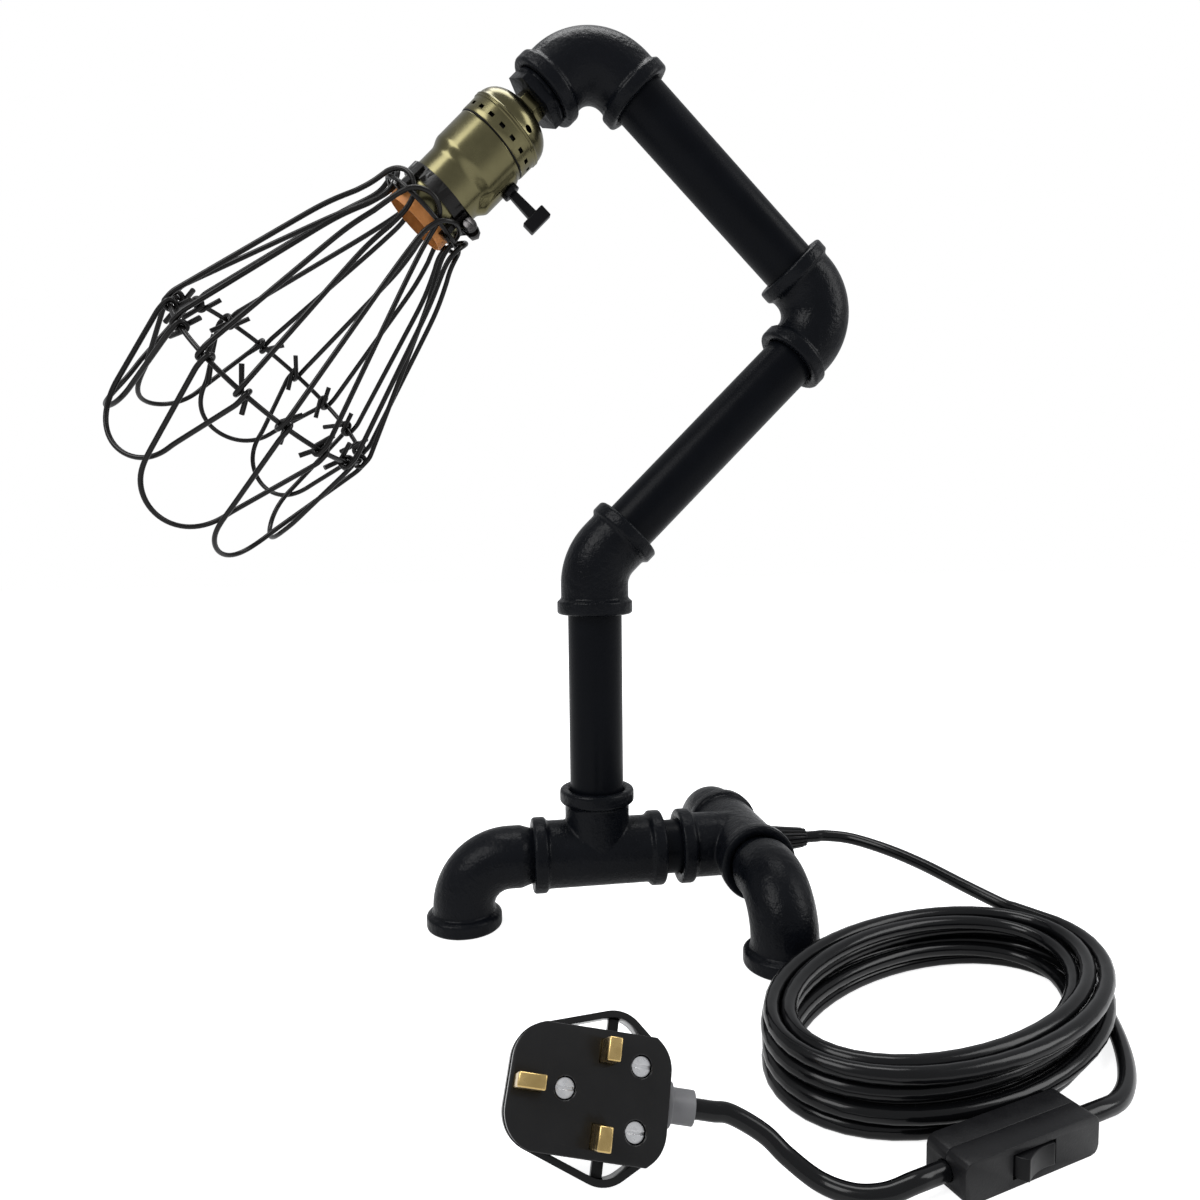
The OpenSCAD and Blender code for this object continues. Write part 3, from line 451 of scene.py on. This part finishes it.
for node, body, material, width, segments in (
        ("hex_bushing", "head", cast_iron, 0.5, 2),
        ("neck_nipple", "head", old_brass, 0.3, 2),
        ("clamp_band", "head", black_wire, 0.2, 2),
        ("clamp_screw", "head", dark_zinc, 0.25, 2),
        ("clamp_nut", "head", dark_zinc, 0.25, 2),
        ("cord_grip", "base", moulded, 0.12, 2),
        ("switch_back", "base", moulded, 0.9, 3),
        ("switch_front", "base", moulded, 0.9, 3),
        ("switch_rocker", "rocker", black_resin, 0.3, 2),
        ("plug_cover", "base", plug_resin, 0.7, 3),
        ("plug_base", "base", plug_resin, 0.35, 2),
        ("plug_pins", "base", bright_brass, 0.45, 2),
        ("plug_screws", "base", zinc, 0.25, 2),
        ("plug_collar", "base", grey_resin, 0.3, 2)):
    piece = copy_of(node)
    edit(piece, bpy.ops.mesh.dissolve_limited, angle_limit=FLAT_ANGLE)
    bevel_edges(piece, width * MM, segments)
    settle(piece, "fine_" + node, in_place, body, material, node, angle=35)

# %% [markdown]
# ## Turned pieces
# The socket's cap and shell are spun from sheet brass, and its insulator and sleeve are round too. So each is a
# profile of radius and height that is turned about the socket's axis. The profile starts from one vertex, which
# is extruded from point to point and then spun, as metal is on a lathe.

# %% Turning a profile
def lathe(profile, steps):
    """Turns a row of radii and heights once round the z axis."""
    bpy.ops.mesh.primitive_plane_add(size=1)
    obj = bpy.context.object
    bpy.ops.object.mode_set(mode="EDIT")
    bpy.ops.mesh.select_mode(type="VERT")
    bpy.ops.mesh.select_all(action="SELECT")
    bpy.ops.mesh.merge(type="CENTER")
    bpy.ops.transform.translate(value=(profile[0][0], 0, profile[0][1]))
    for (r0, z0), (r1, z1) in zip(profile, profile[1:]):
        bpy.ops.mesh.extrude_region_move(TRANSFORM_OT_translate={"value": (r1 - r0, 0, z1 - z0)})
    bpy.ops.mesh.select_all(action="SELECT")
    bpy.ops.mesh.spin(steps=steps, angle=2 * pi, center=(0, 0, 0), axis=(0, 0, 1))
    bpy.ops.mesh.select_all(action="SELECT")
    bpy.ops.mesh.remove_doubles(threshold=0.002)
    bpy.ops.mesh.normals_make_consistent(inside=False)
    bpy.ops.object.mode_set(mode="OBJECT")
    return obj

# %% [markdown]
# ## Socket cap
# The cap is a dome over a straight band, with a double bead between them. A row of short slots is pierced
# through the band, and an oval hole through the dome. A slot has the height of one row of the band's faces, so
# it is made by deleting faces there before the sheet gets its thickness. The oval lies across the dome's
# faces, so a cylinder cuts it.

# %% Cap's profile
CAP_TOP, CAP_END, CAP_R = 44.1, 66.5, 19.6
CAP_RIM = CAP_END + 0.45
NECK_HOLE_R = 5.1
DOME_R, DOME_H = 7, 11                   # where the dome starts, and its height
SLOTS, SLOT_LOW, SLOT_HIGH, SLOT_SHARE = 18, 62.0, 63.9, 0.42
COLUMNS = 10                             # of faces, to a slot and the metal beside it
BEAD = ((0.1, 12.2), (0.5, 12.6), (0.5, 13.0), (0.1, 13.3), (0.1, 13.5), (0.45, 13.8), (0.45, 14.3), (0, 14.7))

dome = [(DOME_R + (CAP_R - DOME_R) * cos(radians(a)), CAP_TOP + 1 + DOME_H * (1 - sin(radians(a))))
        for a in range(90, -1, -9)]
bead = [(CAP_R + out, CAP_TOP + z) for out, z in BEAD]
band = [(CAP_R, z) for z in (SLOT_LOW - 0.4, SLOT_LOW, SLOT_HIGH, SLOT_HIGH + 0.4, CAP_RIM - 0.3)]
cap = lathe([(NECK_HOLE_R, CAP_TOP), (DOME_R, CAP_TOP + 0.2)] + dome + bead + band + [(CAP_R - 0.2, CAP_RIM)],
            SLOTS * COLUMNS)

# %% Slots of the cap
def in_slot(middle):
    turn = (atan2(middle.y, middle.x) / (2 * pi) * SLOTS) % 1
    return turn < SLOT_SHARE and SLOT_LOW < middle.z < SLOT_HIGH

only(cap)
bpy.ops.object.mode_set(mode="EDIT")
bpy.ops.mesh.select_mode(type="FACE")
bpy.ops.mesh.select_all(action="DESELECT")
bpy.ops.object.mode_set(mode="OBJECT")
for face in cap.data.polygons:
    face.select = in_slot(face.center)
print(sum(face.select for face in cap.data.polygons), "faces cut out for the slots")
bpy.ops.object.mode_set(mode="EDIT")
bpy.ops.mesh.delete(type="FACE")
bpy.ops.object.mode_set(mode="OBJECT")
modify(cap, "SOLIDIFY", thickness=0.6, offset=-1)

# %% Oval hole of the cap
HOLE_R, HOLE_STRETCH = 1.1, 1.9
HOLE_AT = (18.4, 0, CAP_TOP + 9.8)       # on the dome, before it goes round the cap
HOLE_ROUND, HOLE_SLOPE = 237, -20        # round the cap, and out of level as the dome is there

bpy.ops.mesh.primitive_cylinder_add(vertices=32, radius=HOLE_R, depth=8, rotation=(0, pi / 2, 0),
                                    scale=(1, HOLE_STRETCH, 1))
cutter = bpy.context.object
bpy.ops.object.transform_apply(location=True, rotation=True, scale=True)
cutter.matrix_world = turned("Z", HOLE_ROUND) @ at(*HOLE_AT) @ turned("Y", HOLE_SLOPE)
modify(cap, "BOOLEAN", operation="DIFFERENCE", object=cutter, solver="EXACT")
bpy.data.objects.remove(cutter)
bevel_edges(cap, 0.06, 1, angle=50)
settle(cap, "brass_cap", on_head, "head", old_brass, "socket_cap")

# %% [markdown]
# ## Insulator, and a line of painted shade
# A black moulded lining keeps the live parts off the brass. All that shows of it is a thin black edge between
# the cap and the shell, with rounded corners. That edge is painted shade: it stands for the dark shadow line
# where the cap's rim overlaps the shell. Its whole profile is turned, so that the socket isn't empty inside.

# %% Insulator, with its black edge of painted shade between cap and shell
LINING_IN, LINING_OUT, PAINTED_SHADE_EDGE_R = 3.7, 17.4, 19.45
LINING_TOP, LINING_END = CAP_END - 9, CAP_END + 18
# The black edge that shows between the cap's rim and the shell is painted shade, for the shadow in that joint.
PAINTED_SHADE_EDGE = ((LINING_OUT, 0.02), (PAINTED_SHADE_EDGE_R - 0.15, 0.02), (PAINTED_SHADE_EDGE_R, 0.15), (PAINTED_SHADE_EDGE_R, 0.45), (PAINTED_SHADE_EDGE_R - 0.15, 0.58),
        (LINING_OUT, 0.58))

insulator = lathe([(LINING_IN, LINING_TOP), (LINING_OUT, LINING_TOP)] + [(r, CAP_RIM + z) for r, z in PAINTED_SHADE_EDGE]
                  + [(LINING_OUT, LINING_END), (LINING_IN, LINING_END), (LINING_IN, LINING_TOP)], 96)
settle(insulator, "insulator", on_head, "head", black_resin, "socket_insulator")

# %% [markdown]
# ## Socket shell
# The shell is pressed, not turned: below its shoulder it is narrower, except at the key, where it keeps its
# width as a soft lobe that runs out below the shoulder. A separate boss would leave a seam that the real one
# lacks. So the profile is turned in close rows, and then each vertex moves out by how far inside the lobe
# it lies.

# %% Shell's profile
SHELL_TOP, SHELL_END, WIDE_R, SHELL_R = 67.55, 113.9, 19.2, 17.2
SHOULDER_Z, SHOULDER_LEN = 84.0, 6.2
CLOSE_STEP, EVEN_FROM, EVEN_STEP = 0.4, 69.5, 0.75      # rows: three close ones at the top, then even ones
LIP = 0.5

def eased(t):
    t = min(max(t, 0.0), 1.0)
    return t * t * (3 - 2 * t)

def shell_radius(z):
    return WIDE_R + (SHELL_R - WIDE_R) * eased((z - SHOULDER_Z) / SHOULDER_LEN)

rows = [SHELL_TOP + CLOSE_STEP * i for i in (1, 2, 3)]
rows += [EVEN_FROM + EVEN_STEP * i for i in range(ceil((SHELL_END - LIP - EVEN_FROM) / EVEN_STEP))]
rows += [SHELL_END - LIP, SHELL_END]
shell = lathe([(WIDE_R - 0.25, SHELL_TOP)] + [(shell_radius(z), z) for z in rows], 120)
print(len(rows), "rows in the shell's profile")

# %% Key's lobe on the shell
LOBE_HALF, LOBE_Z, LOBE_LEN = 8.6, 84.5, 11.0      # half its width, where it starts to run out, and over what
LOBE_CORE, LOBE_EDGE = 0.62, 0.5                   # shares of the lobe that are full height and slope
BOSS_OUT, BOSS_Z, BOSS_RISE = 0.95, 68.6, 2.5      # how far the key's boss stands out, and where it rises

for vertex in shell.data.vertices:
    x, y, z = vertex.co
    if x < 0 and z > SHELL_TOP + 0.5:
        across, below = y / LOBE_HALF, max(0.0, z - LOBE_Z) / LOBE_LEN
        inside = 1 - eased((hypot(across, below) - LOBE_CORE) / LOBE_EDGE)
        r = hypot(x, y)
        lobe_r = WIDE_R + BOSS_OUT * eased((z - BOSS_Z) / BOSS_RISE)
        grow = 1 + (max(lobe_r, r) - r) * inside / r
        vertex.co.x, vertex.co.y = x * grow, y * grow
modify(shell, "SOLIDIFY", thickness=0.7, offset=-1)
settle(shell, "brass_shell", on_head, "head", old_brass, "socket_shell", angle=50)

# %% [markdown]
# ## Key
# The turn key is one moulded piece: a round hub on the shell's boss, a flat stem that widens a little on its
# way out, and a cross bar for the fingers. Each is a primitive with its edges rounded, and the three are
# joined, because they turn together.

# %% Sizes of the key
KEY_Z = 76.3
HUB_X, HUB_R, HUB_DEPTH = -21.25, 4.5, 2.6
STEM_IN, STEM_OUT, STEM_Y, STEM_Z = -19.6, -36.2, 2.2, 2.5
BAR_IN, BAR_OUT, BAR_Y, BAR_Z = -35.5, -41.8, 2.6, 6.4
TAPER_X, TAPER_LEN = -21.4, 14.8
TAPER_Y, TAPER_Z = (0.86, 0.16), (0.8, 0.22)       # the stem's share at the shell, and what it gains going out

# %% Stem and bar
def block(x0, x1, half_y, half_z, width):
    """A block from x0 to x1 at the key's height, with its edges rounded."""
    bpy.ops.mesh.primitive_cube_add(size=1, location=((x0 + x1) / 2, 0, KEY_Z),
                                    scale=(x1 - x0, 2 * half_y, 2 * half_z))
    obj = bpy.context.object
    bpy.ops.object.transform_apply(location=True, rotation=True, scale=True)
    bevel_edges(obj, width, 3)
    return obj

stem = block(STEM_OUT, STEM_IN, STEM_Y, STEM_Z, 0.4)
for vertex in stem.data.vertices:
    widen = (TAPER_X - vertex.co.x) / TAPER_LEN
    vertex.co.y *= TAPER_Y[0] + TAPER_Y[1] * widen
    vertex.co.z = KEY_Z + (vertex.co.z - KEY_Z) * (TAPER_Z[0] + TAPER_Z[1] * widen)
bar = block(BAR_OUT, BAR_IN, BAR_Y, BAR_Z, 0.6)

# %% Hub, and the key joined
bpy.ops.mesh.primitive_cylinder_add(vertices=32, radius=HUB_R, depth=HUB_DEPTH, location=(HUB_X, 0, KEY_Z),
                                    rotation=(0, pi / 2, 0))
hub = bpy.context.object
bpy.ops.object.transform_apply(location=True, rotation=True, scale=True)
bevel_edges(hub, 0.4, 2)
only(stem)
for obj in (bar, hub):
    obj.select_set(True)
bpy.ops.object.join()
settle(stem, "key", on_head, "key", black_resin, "turn_key")

# %% [markdown]
# ## Fibre sleeve
# A liner of orange-brown vulcanised fibre stands out of the shell, and shows between the wires. It is a plain
# tube with a rounded rim, turned like the rest. The profile stops at the rim's inner edge, so the tube has no
# wall on its inside. Pressed fibre is matt and finely mottled, and its finish carries that.

# %% Fibre sleeve
SLEEVE_IN, SLEEVE_OUT, SLEEVE_TOP, SLEEVE_END = 15.3, 16.15, 96, 119.8
sleeve = lathe([(SLEEVE_IN, SLEEVE_TOP), (SLEEVE_OUT, SLEEVE_TOP), (SLEEVE_OUT, SLEEVE_END - 0.6),
                (SLEEVE_OUT - 0.25, SLEEVE_END), (SLEEVE_IN, SLEEVE_END)], 72)
settle(sleeve, "fibre_liner", on_head, "head", fibre, "fibre_sleeve")

# %% [markdown]
# ## Wire guard
# Eight long loops hang from a small ring at the clamp band and hook over the large ring. Eight short loops hook
# under it and make the open mouth, each of its own length, as bent by hand. The loops overlap like a basket:
# the right leg of each lies outside the left leg of the next. A loop is one wire, bent round the ring at both
# ends, with a straight tail. So it is a tube along a row of points: hook, leg, arch, leg, hook.

# %% Sizes of the guard
WIRE_R = 1.2
NECK_RING_R, NECK_WIRE_R = 22.1, 1.1
RING_R, RING_AT = 55.5, 223.4
LOOPS, PHASE, HALF = 8, 36, 33.75        # loops, the first one's angle, and half the angle between its hooks
LOOP_TOP = 108.35
NECK_RING_AT = LOOP_TOP + 6
# An arch has its height, half its angle, and a skew that sets one side further out, in mm for each degree.
UPPER_ARCH, UPPER_HALF, UPPER_SKEW = 12.5, 30, 0.102
LOWER_ARCH, LOWER_HALF, LOWER_SKEW = 20, 24, 0.1
LOWER_REACH = (58, 52, 56, 64, 74, 72, 62, 60)     # from the large ring to each lower loop's tip
LEAN_IN, TIP_LEAN = 4, 3                 # how far the lower loops lean inwards, and more at their tips
BULGE_R, BULGE_SKEW, BULGE_AT, BULGE_TURN = 31.6, 2.7, 140, 1.5      # where an upper loop's legs bend
HOOK_R, HOOK_LEG, HOOK_SHIFT, HOOK_SPAN = 2.65, 5, 1.6, 9            # the shift is in degrees round the ring
TAIL_LEN, TAIL_IN, TAIL_SWING = 8.5, 0.8, (6, -4, 8, 3, -6, 5, -8, 4)
GUARD_LEAN, LEAN_OVER, TWIST = 9.5, 20, -10        # degrees, the mm over which the lean comes in, degrees

# %% Hooks and arches
def polar(r, degrees, z):
    return Vector((r * cos(radians(degrees)), r * sin(radians(degrees)), z))

def hook(a, way, swing):
    """A leg's end, half a turn round the large ring, and a tail that swings to one side."""
    leg = polar(RING_R + HOOK_R, a, RING_AT - way * HOOK_LEG)
    half_turn = [polar(RING_R + HOOK_R * cos(radians(b)), a, RING_AT + way * HOOK_R * sin(radians(b)))
                 for b in range(0, 181, 12)]
    return [leg] + half_turn + [polar(RING_R - HOOK_R - TAIL_IN, a + swing, RING_AT - way * TAIL_LEN)]

def arch(a, half, skew, radius, height):
    """Half an oval from one leg to the other. Radius and height depend on the share of the rise."""
    points = []
    for b in range(0, 181, 6):
        off, rise = half * cos(radians(b)), sin(radians(b))
        points.append(polar(radius(rise) + skew * off, a + off, height(rise)))
    return points

# %% [markdown]
# The rows of points have hard corners, where a hook meets its leg and a leg its arch. A wire bends in a curve
# there. Corners between long stretches are rounded first, and then the legs are evened out, while the hooks
# and the tops of the loops keep the tight bends that hold them. Last, the whole guard leans out of the
# socket's line, as it does on the real lamp, where its clamp isn't quite true.

# %% Rounding and leaning
CORNER_REACH, CORNER_TURN, SHORT = 9.0, radians(8), 1.5
LEG_STEP, EASING_PASSES = 2, 14

def rounded(points):
    """The points with a short curve in place of each corner between two long stretches."""
    out = [points[0]]
    for a, b, c in zip(points, points[1:], points[2:]):
        u, v = a - b, c - b
        if min(u.length, v.length) > SHORT and pi - u.angle(v) > CORNER_TURN:
            k = min(CORNER_REACH, 0.45 * u.length, 0.45 * v.length)
            p, q = b + u.normalized() * k, b + v.normalized() * k
            out += [p * (1 - t) ** 2 + b * 2 * t * (1 - t) + q * t * t for t in (0, 0.2, 0.4, 0.6, 0.8, 1)]
        else:
            out.append(b)
    return out + [points[-1]]

def is_held(z):
    """Whether a hook or the top of a loop lies there, whose bends stay tight."""
    return abs(z - RING_AT) < HOOK_SPAN or z < NECK_RING_AT

def eased_legs(points):
    """The legs in short even steps, and then each step drawn towards its neighbours, pass after pass."""
    spaced = []
    for a, b in zip(points, points[1:]):
        pieces = 1 if is_held((a.z + b.z) / 2) else max(1, round((b - a).length / LEG_STEP))
        spaced += [a.lerp(b, k / pieces) for k in range(pieces)]
    spaced.append(points[-1])
    for _ in range(EASING_PASSES):
        spaced = [b if is_held(b.z) else 0.25 * a + 0.5 * b + 0.25 * c
                  for a, b, c in zip([spaced[0]] + spaced, spaced, spaced[1:] + [spaced[-1]])]
    return spaced

def lean_matrix(z):
    """No lean at the tops of the loops, which stay on the socket, and all of it from LEAN_OVER on."""
    share = min(max((z - LOOP_TOP) / LEAN_OVER, 0), 1)
    return at(0, 0, LOOP_TOP) @ turned("X", -GUARD_LEAN * share) @ at(0, 0, -LOOP_TOP)

def leaned(points):
    return [lean_matrix(p.z) @ p for p in eased_legs(rounded(points))]

# %% Loops of the guard
def upper_points(a, swing):
    foot = a + TWIST + HOOK_SHIFT
    top = arch(a, UPPER_HALF, UPPER_SKEW, lambda rise: NECK_RING_R,
               lambda rise: LOOP_TOP + UPPER_ARCH * (1 - rise))
    return leaned(hook(foot + HALF, 1, swing)[::-1]
                  + [polar(BULGE_R + BULGE_SKEW, a + UPPER_HALF, BULGE_AT)] + top
                  + [polar(BULGE_R - BULGE_SKEW, a - UPPER_HALF - BULGE_TURN, BULGE_AT)]
                  + hook(foot - HALF, 1, -swing))

def lower_points(a, reach, swing):
    tip = arch(a, LOWER_HALF, LOWER_SKEW, lambda rise: RING_R - LEAN_IN - TIP_LEAN * rise,
               lambda rise: RING_AT + reach - LOWER_ARCH * (1 - rise))
    return leaned(hook(a + HALF - HOOK_SHIFT, -1, -swing)[::-1] + tip + hook(a - HALF - HOOK_SHIFT, -1, swing))

def wire(name, points, node):
    only(tube(name, points, WIRE_R, on_head))
    bpy.ops.object.convert(target="MESH")
    settle(bpy.context.object, name, in_place, "head", black_wire, node, angle=60)

for i in range(LOOPS):
    angle, number = PHASE + i * 360 / LOOPS, str(i + 1)
    wire("upper_wire_" + number, upper_points(angle, TAIL_SWING[i]), "upper_loop_" + number)
    swing = TAIL_SWING[(i + 3) % LOOPS]  # not the swing of the upper loop beside it
    wire("lower_wire_" + number, lower_points(angle + TWIST, LOWER_REACH[i], swing), "lower_loop_" + number)

# %% Rings of the guard
def ring(name, radius, wire_radius, z, node, lean):
    bpy.ops.mesh.primitive_torus_add(major_segments=120, minor_segments=14, major_radius=radius,
                                     minor_radius=wire_radius, location=(0, 0, z))
    settle(bpy.context.object, name, on_head @ lean, "head", black_wire, node, angle=60)

ring("large_ring", RING_R, WIRE_R, RING_AT, "guard_ring", lean_matrix(RING_AT))
ring("small_ring", NECK_RING_R, NECK_WIRE_R, NECK_RING_AT, "neck_ring", in_place)

# %% [markdown]
# ## Pieces that keep their CAD shape
# The pipes, the lead inside them, the fuse and the hidden parts of the socket are plain round shapes. A new
# mesh would have the same faces, so the CAD mesh stays and only gets a finish.

# %% Finishes for the CAD meshes
kept = {
    black_pipe: ("base_nipple", "post_pipe", "lower_arm_pipe", "upper_arm_pipe"),
    lead_skin: ("lead_base", "lead_lower", "lead_upper", "lead_head"),
    bright_brass: ("screw_shell", "centre_contact"),
    china: ("plug_fuse",),
}
for material, names in kept.items():
    for name in names:
        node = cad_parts[name]
        node.data.materials.clear()
        node.data.materials.append(material)
        only(node)
        bpy.ops.object.shade_smooth_by_angle(angle=radians(30))
print(sum(len(names) for names in kept.values()), "CAD meshes with a finish")

# %% [markdown]
# ## The lead's length
# The lead has its whole length in the picture, so its length is the length of the route. The switch lies on its
# first run, and the plug with its fuse on the second.

# %% [markdown]
# ## White room and floor
# The photograph has a white background. Brighter lamps could burn the room white, but the lamp would pale with
# it. So the room is white to the camera alone, and a part of that white shows in reflections, while the light
# that falls on the lamp stays plain. The floor does the same and keeps a soft shadow under the lamp.

# %% World
ROOM_COLOUR, ROOM_LIGHT = (0.62, 0.64, 0.67, 1), 0.6
MIRRORED = 0.3                           # how much of the white shows in metal and through glass

def white_share(tree):
    """How much white a ray sees: all of it from the camera, MIRRORED off or through a shiny piece."""
    rays = tree.nodes.new("ShaderNodeLightPath").outputs
    mirrored = math_node(tree, "MAXIMUM", rays["Is Glossy Ray"], rays["Is Transmission Ray"])
    return math_node(tree, "MAXIMUM", rays["Is Camera Ray"], math_node(tree, "MULTIPLY", mirrored, MIRRORED))

world = bpy.data.worlds.new("studio")
bpy.context.scene.world = world
world.use_nodes = True
tree = world.node_tree
background = tree.nodes["Background"]
background.inputs["Color"].default_value = ROOM_COLOUR
background.inputs["Strength"].default_value = ROOM_LIGHT
white = tree.nodes.new("ShaderNodeBackground")
white.inputs["Color"].default_value = (1, 1, 1, 1)
blend = tree.nodes.new("ShaderNodeMixShader")
tree.links.new(white_share(tree), blend.inputs["Fac"])
tree.links.new(background.outputs["Background"], blend.inputs[1])
tree.links.new(white.outputs["Background"], blend.inputs[2])
tree.links.new(blend.outputs["Shader"], tree.nodes["World Output"].inputs["Surface"])
print("room lit at", ROOM_LIGHT, "and white to the camera")

# %% Floor
FLOOR_SIZE, FLOOR_GAP = 6, 0.0002        # the gap keeps it out of the plane that the feet stand on
FLOOR_GLOW = 0.85                        # with the light that the paper scatters, it makes white

bpy.ops.mesh.primitive_plane_add(size=FLOOR_SIZE, location=(0, 0, -FLOOR_GAP))
ground = bpy.context.object
ground.name = "ground"
paper = bpy.data.materials.new("paper")
paper.use_nodes = True
tree = paper.node_tree
tree.nodes.remove(tree.nodes["Principled BSDF"])
matt = tree.nodes.new("ShaderNodeBsdfDiffuse")
matt.inputs["Color"].default_value = (0.8, 0.8, 0.8, 1)
glow = tree.nodes.new("ShaderNodeEmission")
tree.links.new(math_node(tree, "MULTIPLY", white_share(tree), FLOOR_GLOW), glow.inputs["Strength"])
both = tree.nodes.new("ShaderNodeAddShader")
tree.links.new(matt.outputs["BSDF"], both.inputs[0])
tree.links.new(glow.outputs["Emission"], both.inputs[1])
tree.links.new(both.outputs["Shader"], tree.nodes["Material Output"].inputs["Surface"])
ground.data.materials.append(paper)
print("floor", FLOOR_SIZE, "m wide")

# %% [markdown]
# ## Lamps
# The light of the photograph is broad and soft, from the upper left, from the right and from above. Three area
# lamps stand there, large against the object, so that a highlight on a pipe is a long soft band.

# %% Soft boxes
def soft_box(name, place, towards, size, power):
    data = bpy.data.lights.new(name, "AREA")
    data.shape, data.size, data.size_y, data.energy = "RECTANGLE", size[0], size[1], power
    lamp = bpy.data.objects.new(name, data)
    bpy.context.scene.collection.objects.link(lamp)
    lamp.location = place
    lamp.rotation_euler = (Vector(towards) - Vector(place)).to_track_quat("-Z", "Y").to_euler()
    print(name, power, "W")

soft_box("box_left", (-1.0, -0.7, 1.3), (0, 0, 0.22), (0.9, 0.9), 16)
soft_box("box_right", (1.3, -0.5, 0.9), (0, 0, 0.22), (0.6, 1.0), 9)
soft_box("box_top", (0.1, 0.3, 1.7), (0, 0, 0.2), (1.0, 0.6), 12)
bpy.context.scene.view_settings.view_transform = "Standard"
